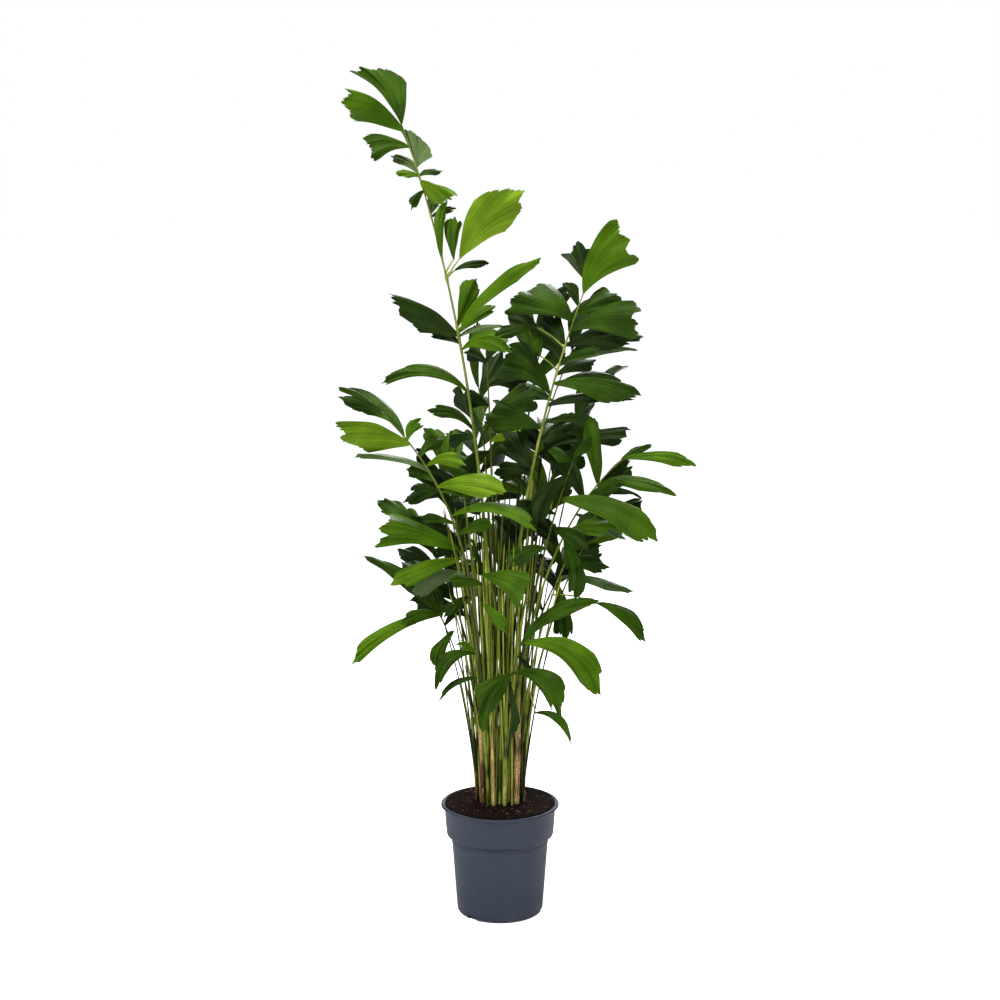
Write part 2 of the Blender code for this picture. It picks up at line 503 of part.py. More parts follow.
def lay_out():
    """Every frond's shells: its limb, its branches and the leaflets that find room, in the tables' order."""
    fronds = list(FRONDS)
    for seed, frond in enumerate(BACK_FRONDS):
        fronds.append(replace(frond, leaves=by_habit(frond, seed)))
    taken = {name: [tree(shoot_shell(shoot, CLEARANCE))] for name, shoot in SHOOTS.items()}
    own = {frond.name: [tree(rachis_shell(frond))] for frond in fronds}
    shells = {}
    for frond in fronds:
        shells[frond.name] = [rachis_shell(frond)]
        taken[frond.name] = [tree(rachis_shell(frond, CLEARANCE))]
    for frond in fronds:
        for branch in sorted({(leaf.height, leaf.stalk) for leaf in frond.leaves if any(leaf.stalk)}):
            start = limb_point(*limb(frond), height_along(frond, branch[0]))
            shells[frond.name].append(stalk_shell(start, Vector(branch[1]) * CM))
            taken[frond.name].append(tree(stalk_shell(start, Vector(branch[1]) * CM, CLEARANCE)))
    skipped = []
    for frond in fronds:
        for leaf in frond.leaves:
            start, stalk = leaf_foot(frond, leaf)
            thickness = max(LEAF_THICKNESS, Vector(leaf.reach).length * CM / SLENDERNESS)
            for aside in TURNS_ASIDE:
                room = tree(blade(start + stalk, leaf, aside, thickness + 2 * CLEARANCE, CLEARANCE))
                outer = tree(blade(start + stalk, leaf, aside, thickness + CLEARANCE, start=OWN_START))
                others = (t for name, trees in taken.items() if name != frond.name for t in trees)
                crossed = any(touch(room, other) for other in others)
                if not crossed and not any(touch(outer, other) for other in own[frond.name]):
                    taken[frond.name].append(room)
                    own[frond.name].append(outer)
                    shells[frond.name].append(blade(start + stalk, leaf, aside, thickness))
                    break
            else:
                skipped.append((frond.name, leaf.height, leaf.reach))
    return shells, skipped


def add_object(name, shell, collection=None):
    """A new object from a shell's vertices and faces, its normals outward."""
    mesh = bpy.data.meshes.new(name)
    mesh.from_pydata([tuple(v) for v in shell[0]], [], shell[1])
    bm = bmesh.new()
    bm.from_mesh(mesh)
    bmesh.ops.recalc_face_normals(bm, faces=bm.faces)
    bm.to_mesh(mesh)
    bm.free()
    obj = bpy.data.objects.new(name, mesh)
    (collection or bpy.context.scene.collection).objects.link(obj)
    return obj


def lathe(name, profile, sides):
    """A turned solid from a profile of (radius, height) points that starts and ends on the axis."""
    bm = bmesh.new()
    points = [bm.verts.new((radius, 0.0, height)) for radius, height in profile]
    edges = [bm.edges.new(pair) for pair in zip(points, points[1:])]
    bmesh.ops.spin(bm, geom=points + edges, cent=(0, 0, 0), axis=UP, angle=math.tau, steps=sides,
                   use_merge=True)
    bmesh.ops.remove_doubles(bm, verts=bm.verts, dist=1e-6)
    bmesh.ops.recalc_face_normals(bm, faces=bm.faces)
    mesh = bpy.data.meshes.new(name)
    bm.to_mesh(mesh)
    bm.free()
    obj = bpy.data.objects.new(name, mesh)
    bpy.context.scene.collection.objects.link(obj)
    return obj


def baked(obj, modifier):
    """Apply the modifier that was just added to an object, and take away what it used."""
    graph = bpy.context.evaluated_depsgraph_get()
    mesh = bpy.data.meshes.new_from_object(obj.evaluated_get(graph))
    used = list(modifier.collection.objects)
    shared = modifier.collection
    obj.modifiers.remove(modifier)
    obj.data = mesh
    for tool in used:
        bpy.data.objects.remove(tool)
    bpy.data.collections.remove(shared)


def boolean(obj, operation, tools, solver="EXACT"):
    """Join a collection of objects to an object, or cut them from it."""
    modifier = obj.modifiers.new(operation.lower(), "BOOLEAN")
    modifier.operand_type = "COLLECTION"
    modifier.collection = tools
    modifier.operation = operation
    modifier.solver = solver
    baked(obj, modifier)


def keep_largest(obj):
    """Drop loose scraps, and keep the body with the most faces."""
    bm = bmesh.new()
    bm.from_mesh(obj.data)
    left, bodies = set(bm.verts), []
    while left:
        stack, body = [left.pop()], set()
        while stack:
            vertex = stack.pop()
            body.add(vertex)
            for edge in vertex.link_edges:
                other = edge.other_vert(vertex)
                if other in left:
                    left.discard(other)
                    stack.append(other)
        bodies.append(body)
    bodies.sort(key=len)
    for body in bodies[:-1]:
        bmesh.ops.delete(bm, geom=list(body), context="VERTS")
    bm.to_mesh(obj.data)
    bm.free()
    return len(bodies) - 1


def new_collection(name):
    """A collection in the scene, to hold what a Boolean joins or cuts."""
    group = bpy.data.collections.new(name)
    bpy.context.scene.collection.children.link(group)
    return group


def material(name, colour, roughness, metallic=0.0):
    """A plain material in the piece's own colour."""
    mat = bpy.data.materials.new(name)
    mat.use_nodes = True
    shader = mat.node_tree.nodes["Principled BSDF"]
    shader.inputs["Base Color"].default_value = (*colour, 1.0)
    shader.inputs["Roughness"].default_value = roughness
    shader.inputs["Metallic"].default_value = metallic
    return mat


def finish(obj, mat):
    """Give an object its material, and shade it smooth between its sharp edges."""
    obj.data.materials.append(mat)
    obj.data.shade_smooth()
    obj.data.set_sharp_from_angle(angle=SMOOTH_ANGLE)


def pot_outline(inset):
    """The pot's outside from its foot up to its lip, moved in by inset: (radius, height) points."""
    return [
        (BASE_RADIUS - BASE_ROUND - inset, 0.0),
        (BASE_RADIUS - BASE_ROUND * 0.3 - inset, BASE_ROUND * 0.3),
        (BASE_RADIUS - inset, BASE_ROUND),
        (BODY_RADIUS - inset, BAND_FOOT - BAND_STEP),
        (BAND_RADIUS - BAND_TAPER - inset, BAND_FOOT),
        (BAND_RADIUS - inset, POT_HEIGHT - LIP_DEPTH),
    ]


def build_pot():
    """The pot: a turned shell with a stepped band, a rolled lip and drain notches round its foot."""
    outside = pot_outline(0.0)
    lip = [(LIP_RADIUS - 0.0012, POT_HEIGHT - LIP_DEPTH), (LIP_RADIUS, POT_HEIGHT - LIP_DEPTH * 0.6),
           (LIP_RADIUS - 0.0006, POT_HEIGHT - 0.0010), (LIP_RADIUS - 0.0030, POT_HEIGHT)]
    inside = pot_outline(WALL)[::-1]
    inside[0] = (inside[0][0], POT_HEIGHT - LIP_DEPTH)
    inside = [(LIP_OPENING, POT_HEIGHT)] + inside[:-2]
    inside += [(BASE_RADIUS - WALL - 0.0015, FLOOR)]
    pot = lathe("pot", [(0.0, 0.0)] + outside + lip + inside + [(0.0, FLOOR)], POT_SIDES)
    notches = new_collection("notches")
    for k in range(DRAIN_NOTCHES):
        angle = math.tau * (k + NOTCH_TURN) / DRAIN_NOTCHES
        place = (BASE_RADIUS * math.cos(angle), BASE_RADIUS * math.sin(angle), 0)
        bpy.ops.mesh.primitive_cube_add(size=1.0, location=place)
        notch = bpy.context.object
        notch.scale = NOTCH_SIZE
        notch.rotation_euler.z = angle
        for group in list(notch.users_collection):
            group.objects.unlink(notch)
        notches.objects.link(notch)
    bpy.context.view_layer.update()
    boolean(pot, "DIFFERENCE", notches)
    return pot


def build_soil():
    """The potting soil: it fills the pot, level under the shoots and a little lower at its edge."""
    wall = [(radius, max(height, FLOOR + GAP)) for radius, height in pot_outline(WALL + GAP)[2:-1]]
    wall[0] = (wall[0][0] - 0.0008, BASE_ROUND)
    foot = (BASE_RADIUS - WALL - GAP - 0.0030, FLOOR + GAP)
    top = [(BAND_RADIUS - WALL - GAP, SOIL_TOP - SOIL_SAG), (SOIL_CROWN, SOIL_TOP), (0.0, SOIL_TOP)]
    return lathe("soil", [(0.0, FLOOR + GAP), foot] + wall + top, POT_SIDES)


# ---- build ----
for obj in list(bpy.data.objects):
    bpy.data.objects.remove(obj)

SLATE = material("slate_plastic", (0.045, 0.058, 0.085), 0.5)
SOIL = material("soil", (0.035, 0.022, 0.016), 0.95)
SHEATH = material("sheath", (0.36, 0.34, 0.10), 0.55)
FOLIAGE = material("foliage", (0.07, 0.20, 0.03), 0.42)

finish(build_pot(), SLATE)
finish(build_soil(), SOIL)
for name, shoot in SHOOTS.items():
    finish(add_object("shoot_" + name, shoot_shell(shoot)), SHEATH)
fronds, skipped = lay_out()
for name, shells in fronds.items():
    rachis = add_object(name, shells[0])
    leaflets = new_collection(name + "_leaflets")
    for k, shell in enumerate(shells[1:]):
        add_object(f"{name}_{k}", shell, leaflets)
    boolean(rachis, "UNION", leaflets, "MANIFOLD")
    scraps = keep_largest(rachis)
    finish(rachis, FOLIAGE)
    print(name, len(shells), "shells,", scraps, "scraps,", len(rachis.data.polygons), "faces")
print("leaflets skipped:", len(skipped))
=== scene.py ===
"""A fishtail palm in a nursery pot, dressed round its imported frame.

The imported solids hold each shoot, frond and leaflet at its place, as plain wedges and tubes. Here the same
tables and the same rule lay the plant out again, and each leaflet is cut finer: thin, pleated along its
veins, ruffled, with a jagged edge and a drawn-out tail. The shoots get their rolled sheaths, and the pot and
the soil are modelled anew at the same sizes.

The frame: metres, +Z up, the origin at the centre of the pot's underside, the plant's fuller face toward -Y.
Lengths in the tables of leaflets, shoots and fronds are centimetres, as a grower writes them.
"""

from __future__ import annotations

import logging
import math
import random
from dataclasses import dataclass, field, replace
from enum import Enum
from functools import cache
from typing import Any

import bpy
import numpy as np
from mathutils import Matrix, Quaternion, Vector, noise
from mathutils.bvhtree import BVHTree
from mathutils.kdtree import KDTree


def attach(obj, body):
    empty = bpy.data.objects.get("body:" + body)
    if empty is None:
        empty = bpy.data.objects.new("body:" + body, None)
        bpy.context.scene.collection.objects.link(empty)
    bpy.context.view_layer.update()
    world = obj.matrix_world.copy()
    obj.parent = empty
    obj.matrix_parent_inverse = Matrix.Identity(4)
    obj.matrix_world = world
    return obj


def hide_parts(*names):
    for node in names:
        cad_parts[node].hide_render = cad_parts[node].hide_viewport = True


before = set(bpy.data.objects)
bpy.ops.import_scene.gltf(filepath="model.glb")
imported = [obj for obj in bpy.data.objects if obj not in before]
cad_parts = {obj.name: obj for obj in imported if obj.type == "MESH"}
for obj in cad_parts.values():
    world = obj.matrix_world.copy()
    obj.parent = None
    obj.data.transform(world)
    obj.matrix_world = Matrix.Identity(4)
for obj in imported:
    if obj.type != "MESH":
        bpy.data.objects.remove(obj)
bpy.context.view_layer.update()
LOG = logging.getLogger("fishtail_palm")

Piece = bpy.types.Object
Node = bpy.types.Node
NodeTree = bpy.types.NodeTree
Socket = bpy.types.NodeSocket
Array = np.ndarray
Shell = tuple[list, list]  # vertices and faces

CM = 0.01
GAP = 0.0003
UP = Vector((0.0, 0.0, 1.0))
FRONT = Vector((0.0, -1.0, 0.0))
WHITE = (1.0, 1.0, 1.0, 1.0)

# The rule of the solids' layout, in the same words and numbers as theirs.
SOIL_TOP = 0.2285
FLARE = 1.1
FLARE_HEIGHT = 0.02
SWELL = (FLARE * 1.12, FLARE, 1.12, 1.0)  # a shoot's girth at its cut, flare, belly and top
SHOOT_SIDES = 8
STALK_SIDES = 4
RACHIS_SIDES = 5
SEAT_ROOM = 0.06
RACHIS_STEP = 0.12
RACHIS_TIP = 0.0014
TAPER = 0.8
WIDE_LEAF = 5.5
WAIST = 0.55
OWN_START = 0.3
SUNK = 0.0008
TAIL_CURVE = 1.2
CUP = 0.9
STALK_RADIUS = 0.0016
LEAF_THICKNESS = 0.0018
SLENDERNESS = 95.0
CLEARANCE = 0.0012
TURNS_ASIDE = (0, 7, -7, 14, -14, 21, -21, 30, -30, 40, -40)
HABIT_LEAVES = 7
HABIT_FIRST = 0.5
HABIT_LENGTH = (11.0, 15.0)
HABIT_WIDTH = (4.4, 6.0)


class Tone(Enum):
    """How a leaflet's upper face is coloured: partly its own colour by its age, and partly painted light and
    shade, brighter in SUNLIT where it catches the light and darker in DEEP and SHADE where it lies in shade;
    PALE is partly its paler back and partly a painted grey sheen.
    """

    SUNLIT = "sunlit"
    FRESH = "fresh"
    LEAF = "leaf"
    DEEP = "deep"
    SHADE = "shade"
    PALE = "pale"


class Coat(Enum):
    """How a shoot's sheaths are coloured toward the soil."""

    GREEN = "green"
    STRAW = "straw"
    SPOTTED = "spotted"
    BROWN = "brown"


SUNLIT, FRESH, LEAF, DEEP, SHADE, PALE = Tone
GREEN, STRAW, SPOTTED, BROWN = Coat


@dataclass(frozen=True)
class Leaf:
    """A wedge-shaped leaflet. Its tail is at reach from its foot, and its jagged edge runs back from it."""

    height: float  # where it leaves the rachis, above the floor
    reach: tuple  # from its foot to its tail
    width: float
    tone: Tone = DEEP
    turn: float = 60.0  # degrees that its upper face turns from the sky to the front
    shoulder: float = 0.78  # how far its short side reaches, beside its tail
    spread: float = 0.0  # -1: the blade hangs below its long edge, 1: it stands above it, 0: both
    arch: float = 0.08  # how high it rises over the straight line to its tail, as a part of its length
    stalk: tuple = (0.0, 0.0, 0.0)  # the branch of the rachis that it stands on

    @property
    def wedge(self) -> float:
        """How late it widens: under 1 it is broad early, as a slim leaflet is."""
        return min(0.95, 0.45 + 0.9 * self.width / Vector(self.reach).length)


@dataclass(frozen=True)
class Shoot:
    """A pseudostem of rolled leaf sheaths, from its flat cut on the soil to where its petioles part."""

    foot: tuple
    top: tuple
    girth: float  # its radius at the top
    coat: Coat = SPOTTED


@dataclass(frozen=True)
class Frond:
    """A petiole that runs on as the rachis, with its leaflets. It passes through via half-way up."""

    name: str
    shoot: str
    via: tuple
    tip: tuple
    girth: float  # its radius at the foot
    leaves: tuple = ()


SHOOTS = {
    "edge_left": Shoot((-4.7, -1), (-5.8, -1.4, 43), 0.27, BROWN),
    "front_left": Shoot((-3.4, -2.7), (-4.2, -3.6, 48), 0.42),
    "front_slim": Shoot((-2.3, -3.4), (-3.3, -4.8, 40), 0.28, GREEN),
    "front_middle": Shoot((-1.3, -3.9), (-1.9, -5.2, 45), 0.36, STRAW),
    "front_green": Shoot((-0.1, -3.4), (0.5, -4.4, 44), 0.30, GREEN),
    "front_right": Shoot((0.9, -4), (1.3, -5.6, 43), 0.36, GREEN),
    "tall_left": Shoot((-0.4, -1.5), (-1.7, -1.6, 60), 0.54, STRAW),
    "tall_right": Shoot((1.5, -1.8), (2.3, -1.8, 60), 0.54, GREEN),
    "stout_right": Shoot((3.3, -2.8), (3.7, -3.4, 47), 0.60),
    "edge_right": Shoot((4.8, -1.2), (5.4, -1.2, 45), 0.28, GREEN),
    "middle_left": Shoot((-2.5, -0.8), (-3.7, -0.4, 52), 0.44, GREEN),
    "middle_right": Shoot((3.1, 0.6), (4.2, 1.4, 52), 0.46, BROWN),
    "heart": Shoot((-0.8, 0.9), (-0.9, 2.2, 56), 0.46, BROWN),
    "heart_right": Shoot((1.2, 1.5), (1.7, 3.4, 54), 0.46),
    "back_left": Shoot((-3.2, 1.4), (-4.8, 3.4, 48), 0.44),
    "back_middle": Shoot((-1, 3.2), (-1.6, 6, 46), 0.44),
    "back_right": Shoot((1.9, 3.6), (3, 6.6, 46), 0.44),
    "far_right": Shoot((4.5, 2.3), (6.4, 4.2, 44), 0.42),
}

FRONDS = (
    Frond("frond_tall_left", "tall_left", (-7.6, 0.5, 115), (-19.3, 3, 159.2), 0.42, (
        Leaf(158.8, (-9.8, 2, 10), 5.6, LEAF, 80, 0.45, spread=1),
        Leaf(157.5, (-11, -2, 8), 5.6, FRESH, 85, 0.7, spread=-1),
        Leaf(154.4, (-7.4, -4, -2), 6.6, LEAF, 78, 0.92, spread=0.5),
        Leaf(150.5, (-3.3, 3, 7.6), 4, PALE, 80, 0.08, spread=1),
        Leaf(149.3, (-5.6, 4, 3.5), 2.6, PALE, 45, 0.7),
        Leaf(148.8, (-4.4, -4, 0.4), 2.8, FRESH, 60, 0.7),
        Leaf(148.9, (4.4, 5, 0.8), 2.4, DEEP, 50, 0.7),
        Leaf(148, (7.8, -5, -2.7), 4.4, SUNLIT, 75, 0.35, spread=-0.8),
        Leaf(146, (-2.2, -3, -3.6), 2.4, DEEP, 70),
        Leaf(141.5, (0.6, 4, 3.2), 3.2, LEAF, 15, 0.85),
        Leaf(141, (4.8, 4, 1.6), 1.4, DEEP),
        Leaf(133, (1.3, 1, 11), 2.6, FRESH, 70),
        Leaf(129, (12.2, -3, 13), 9.4, SUNLIT, 82, 0.6, stalk=(2.6, -0.6, 4)),
        Leaf(130, (0.2, 2, 8.2), 3.8, LEAF, 10, 0.9, stalk=(1.6, 0.8, 2.8)),
        Leaf(129, (0.5, 2, 9), 2.4, FRESH, stalk=(0.4, 0.6, 1.2)),
        Leaf(129, (6.6, 4, 1.2), 2, DEEP, stalk=(1.6, 1.8, 1.6)),
        Leaf(119.6, (4, 4, 9.2), 5.4, FRESH, 80, 0.85),
        Leaf(119, (15.4, -3, 13.2), 3.6, FRESH, 65, 0.72, stalk=(0.8, -0.8, 0.8)),
        Leaf(118.4, (7.4, 5, 5.2), 2.8, FRESH, 50, 0.75),
        Leaf(117.6, (9, 2, 1.8), 2.2, PALE, 40, 0.6),
        Leaf(118, (-13, -3, 8.4), 4.2, SHADE, 65, 0.45, spread=-1),
        Leaf(116.3, (-6.6, 4, 3), 3.4, SHADE, 55),
        Leaf(115, (9.8, -6, 0.4), 5, FRESH, 70, 0.65, arch=0.16),
        Leaf(106.5, (-16.8, -2, 2.4), 3.8, LEAF, 60, 0.55, spread=0.5, arch=0.17),
        Leaf(99, (-9, -4, 4.8), 3.2, DEEP, arch=0.16),
        Leaf(97.5, (-5.4, 5, -1), 3.6, DEEP, 50),
    )),
    Frond("frond_tall_right", "tall_right", (7, -3.2, 95), (17, -5, 129), 0.45, (
        Leaf(126.6, (6, -3, 14), 8.2, FRESH, 80, 0.64, spread=-0.85),
        Leaf(128.4, (-1.8, 5, 7.4), 7.6, SHADE, 12, 0.9),
        Leaf(124, (-2.8, 3, 4.4), 3.2, SHADE, 70),
        Leaf(121, (-13.2, -5, 2.4), 8.2, DEEP, 80, 0.24, spread=0.9),
        Leaf(122.6, (9.4, 5, 2.2), 8, DEEP, 74, 0.85),
        Leaf(119.4, (13.2, -4, 4.2), 8.2, DEEP, 76, 0.82, spread=-0.5),
        Leaf(116.4, (15, 1, 1.6), 5.4, SHADE, 66, 0.6),
        Leaf(116.5, (-4, 3, 5.5), 5, SHADE, 70),
        Leaf(116, (-8.2, -2, -1.2), 3, DEEP, 50, stalk=(-5.2, -1.4, 4)),
        Leaf(116, (-6.2, 3, 2.6), 3.6, SHADE, stalk=(-5.2, -1.4, 4)),
        Leaf(112.4, (15.4, 5, 2.6), 2.2, PALE, 50, 0.5, arch=0.12),
        Leaf(113, (7.4, -5, 3.4), 2.8, DEEP, 55),
        Leaf(111.5, (-1.2, 2, 4.6), 3.2, LEAF, 15, 0.7, stalk=(-3.4, -1.2, 3)),
        Leaf(111.5, (-6, 4, 1), 3.6, DEEP, stalk=(-3.4, -1.2, 3)),
        Leaf(110.6, (8, 8, 2), 3.4, SHADE, 45),
        Leaf(109, (16.6, -3, -1.8), 4.4, DEEP, 55, 0.6, spread=-0.5, arch=0.13),
        Leaf(106.6, (-11.6, -6, 9), 9.4, DEEP, 78, 0.9, arch=0.12),
        Leaf(104.5, (17, 2, 0.8), 3.4, SHADE, 50, 0.55),
        Leaf(100, (-11, -4, 3.2), 7.4, DEEP, 76, 0.85),
        Leaf(97, (7, 6, 3), 3.8, SHADE, 50, 0.7),
        Leaf(92, (-5.4, 4, 6.4), 8, SHADE, 80, 0.85),
    )),
    Frond("frond_behind_right", "middle_right", (6, 6.4, 86), (15, 11, 115), 0.34, (
        Leaf(114, (4, 6, 10), 6, SHADE, 20),
        Leaf(112, (10.5, 6, 4), 5, DEEP, 45),
        Leaf(111, (-7, 7, 6.5), 5.5, SHADE),
        Leaf(107, (13, 5, 0.5), 4.6, SHADE, 50),
        Leaf(104, (-9, 6, 1.5), 5, DEEP),
        Leaf(100, (10.5, 2, -2), 5.2, SHADE, 65),
        Leaf(97, (2, 10, 2), 5, DEEP, 30),
        Leaf(93, (8, 0, 3.8), 5.2, SHADE, 70),
        Leaf(91.6, (2.2, -3, 5.2), 3.2, SUNLIT, 78),
        Leaf(90, (-8, 4, -1), 5, SHADE),
    )),
    Frond("frond_mid_left", "front_left", (-8.8, -6, 81), (-23.4, -7.5, 104), 0.36, (
        Leaf(103.5, (-8.4, -2, 3.4), 3, DEEP, 50, 0.5),
        Leaf(102, (-6.8, 4, 2.4), 2.4, FRESH, 40),
        Leaf(99, (-15, 3, 8.6), 3.2, DEEP, 50, 0.55, spread=0.5),
        Leaf(98.2, (2.6, 3, 4.2), 3.6, FRESH, 20, 0.75),
        Leaf(97.5, (-13.8, -5, 4.8), 5.6, SUNLIT, 78, 0.5, spread=-0.9),
        Leaf(95, (4.4, 5, 2.6), 3.4, DEEP),
        Leaf(93, (7.6, -5, 1.2), 3.2, SUNLIT, 65, arch=0.14),
        Leaf(92, (6.2, 4, -3.4), 3.2, SHADE),
        Leaf(91.8, (-14.4, -3, 3.6), 2.8, PALE, 50, 0.55, spread=0.5),
        Leaf(90, (-5.8, 4, 2), 3.8, DEEP, 60, 0.85),
        Leaf(89, (13.4, -7, 0.2), 5.4, SUNLIT, 70, 0.65),
        Leaf(88, (7.2, 2, -1), 2.6, FRESH, 55),
        Leaf(88.2, (-6.2, -4, -0.8), 4.6, DEEP, 65, 0.7),
        Leaf(87, (-8.2, 5, -2), 2.2, SHADE),
        Leaf(85, (6.4, 4, -1.8), 3, SHADE, 50),
        Leaf(83, (16.4, -6, -1.6), 3.8, FRESH, spread=0.5, arch=0.12),
        Leaf(79, (6.6, -6, 3.4), 3, LEAF),
        Leaf(81.5, (-6.6, 4, 0.6), 2.4, DEEP, 60, 0.95),
    )),
    Frond("frond_low_left", "edge_left", (-8.4, -1.4, 53), (-12.2, -1, 62.5), 0.24, (
        Leaf(62.5, (-14.8, 2, 11.2), 3.4, DEEP, 60, 0.45, arch=0.1),
        Leaf(62.2, (-7.4, -4, -0.8), 3.4, LEAF),
        Leaf(62, (-17.2, -6, -8.4), 3.4, FRESH, 55, spread=0.5, arch=0.1),
        Leaf(61.5, (-1.4, 4, 5.8), 3, DEEP, 15),
        Leaf(60, (3.6, 3, 3.4), 2.2, SHADE),
        Leaf(58.5, (-3.4, -2, -7.2), 3.8, LEAF, 75, stalk=(1.2, -0.8, 0.6)),
    )),
    Frond("frond_left", "middle_left", (-5.8, -1.4, 63), (-8, -3.4, 76), 0.30, (
        Leaf(75.5, (-17, -5, 2.4), 6.8, FRESH, 78, 0.75, spread=0.9),
        Leaf(75.2, (-6, 5, -0.6), 3, DEEP, 50),
        Leaf(75.8, (3, 3, 6.5), 4, SHADE, 70),
        Leaf(74, (-13.4, -7, -3.6), 4.2, SUNLIT, 62, arch=0.06),
        Leaf(71, (-11.4, 2, -2.2), 5.6, PALE, 68, spread=-0.5, arch=0.14),
        Leaf(70, (-5, 6, 2.6), 3, SHADE, 50),
        Leaf(66, (-4.6, -5, -3), 3, DEEP),
    )),
    Frond("frond_right", "stout_right", (11.4, -1.4, 75.5), (24.6, 1, 93.5), 0.34, (
        Leaf(93.4, (13.8, -4, -0.4), 3, FRESH, 50),
        Leaf(93, (6.4, 5, 2.6), 2, DEEP, 40, 0.5),
        Leaf(88.4, (-1.4, 2, 13.2), 5.6, LEAF, 12, 0.7),
        Leaf(88, (15.4, -5, -1), 3.4, LEAF, 50, 0.62, arch=0.13),
        Leaf(86.5, (10.6, 5, -1.4), 2.4, SHADE, 40, 0.5),
        Leaf(85, (-6.6, 4, 8.8), 4.6, SHADE, 65),
        Leaf(84, (8, -2, 6), 3, DEEP),
        Leaf(82.5, (9.8, 2, -5.4), 2.6, PALE, 55),
        Leaf(78.5, (9.4, -6, 2.8), 4.4, LEAF, 62, 0.75, arch=0.1),
        Leaf(78, (2, -3, -7), 4.2, LEAF, 15),
        Leaf(76, (-4.6, 4, 5), 4.6, SHADE),
    )),
    Frond("frond_low_right", "edge_right", (9.2, -0.4, 62), (15, 2, 76.5), 0.28, (
        Leaf(76, (5, 4, 6), 4, DEEP),
        Leaf(75.4, (0.6, -5, -9.4), 4.2, DEEP, 15, arch=0.1),
        Leaf(71.2, (9.4, 5, -1), 4, DEEP, 56, 0.75),
        Leaf(69.5, (14.6, 1, -3.2), 2.8, PALE, 50, 0.7),
        Leaf(68.4, (1.6, -4, -10.8), 4.4, LEAF, 12, 0.85, arch=0.06),
        Leaf(62.6, (3.2, 3, -5), 2.4, SHADE),
        Leaf(66, (9.4, -4, -6.8), 4, LEAF, 60, 0.6, spread=0.5, arch=0.1, stalk=(8.6, -5, -0.6)),
        Leaf(47, (7, -4, -5.6), 2, LEAF, 56, 0.5, arch=0.28, stalk=(1.4, -1.6, -4.6)),
    )),
    Frond("frond_front", "front_middle", (-2.7, -7.4, 60), (-3.6, -9, 72.4), 0.28, (
        Leaf(72, (7.8, -5, -5.4), 7.2, FRESH, 78, 0.75, spread=0.6, arch=0.12),
        Leaf(72.2, (-2, -2, 7.4), 4, DEEP, 70),
        Leaf(70, (-6.8, -5, 1.8), 3.6, LEAF),
        Leaf(66, (4.2, -5, -4.6), 3, FRESH),
    )),
    Frond("frond_front_low", "front_right", (1.5, -7, 48), (2.2, -8.4, 52), 0.26, (
        Leaf(51.8, (-5.4, -7, -9.4), 7.8, LEAF, 76, 0.55, arch=0.22),
        Leaf(51.9, (9.8, -7, -6.8), 5.8, LEAF, 70, 0.75, arch=0.24),
        Leaf(51, (0.6, -4, -11.4), 3.6, SHADE, 65, arch=0.12),
    )),
    Frond("frond_reaching_right", "front_green", (2.6, -6, 52), (4.4, -7.4, 58), 0.24, (
        Leaf(57.9, (15.2, -6, -8.6), 6.6, FRESH, 70, arch=0.22),
        Leaf(57.6, (15, 1, 8.6), 3.8, LEAF, 60, 0.7, arch=0.12),
        Leaf(55, (4, 2, -5.6), 3, SHADE),
    )),
    Frond("frond_curled_left", "front_slim", (-4.3, -6.2, 49), (-4.9, -7.2, 56), 0.22, (
        Leaf(55.6, (-7.8, -4, -5.8), 3.6, DEEP, 62, 0.7, arch=0.28),
        Leaf(55.8, (-3.4, -5, 3), 2.6, FRESH),
        Leaf(50.5, (-7.8, -1, -4.6), 1.8, DEEP, 50, 0.5, arch=0.22),
    )),
    Frond("frond_right_centre", "middle_right", (8.8, -1.8, 75), (14.4, -4.6, 94), 0.32, (
        Leaf(93.8, (4, -4, 5), 4.6, DEEP, 70),
        Leaf(93.5, (-4.6, -4, 3), 4.6, DEEP, 65),
        Leaf(91, (-6.4, -4, -9), 5, SHADE, 70, arch=0.1),
        Leaf(86, (18.6, -7, -6.8), 6.4, LEAF, 66, arch=0.14),
        Leaf(83, (-8.6, -6, 1), 5, SHADE, 65),
        Leaf(80, (7, -6, -3), 4.4, DEEP),
        Leaf(76, (-7.6, -6, -2), 4.4, DEEP),
    )),
    Frond("frond_heart", "heart", (-1.6, 6.4, 87), (-2.6, 8.6, 112), 0.36, (
        Leaf(111.5, (-4.8, 3, 2.2), 4, SHADE),
        Leaf(112, (3, 5, 5.4), 5, DEEP, 20),
        Leaf(107, (8.6, 5, 1.6), 5, SHADE),
        Leaf(103, (-6.4, 6, 1), 5, SHADE),
        Leaf(101, (9.6, -2, 5), 7.4, DEEP, 75, 0.85),
        Leaf(96, (6.8, -2, 2.6), 4.6, SUNLIT, 78),
        Leaf(94, (-5.6, 3, -3.8), 5, SHADE, 65),
        Leaf(90, (8.8, 4, -1.4), 5, SHADE, 55),
        Leaf(86, (-7.8, -1, 2), 5, SHADE),
        Leaf(81, (6, -3, -5), 4.6, SHADE, 65),
    )),
)

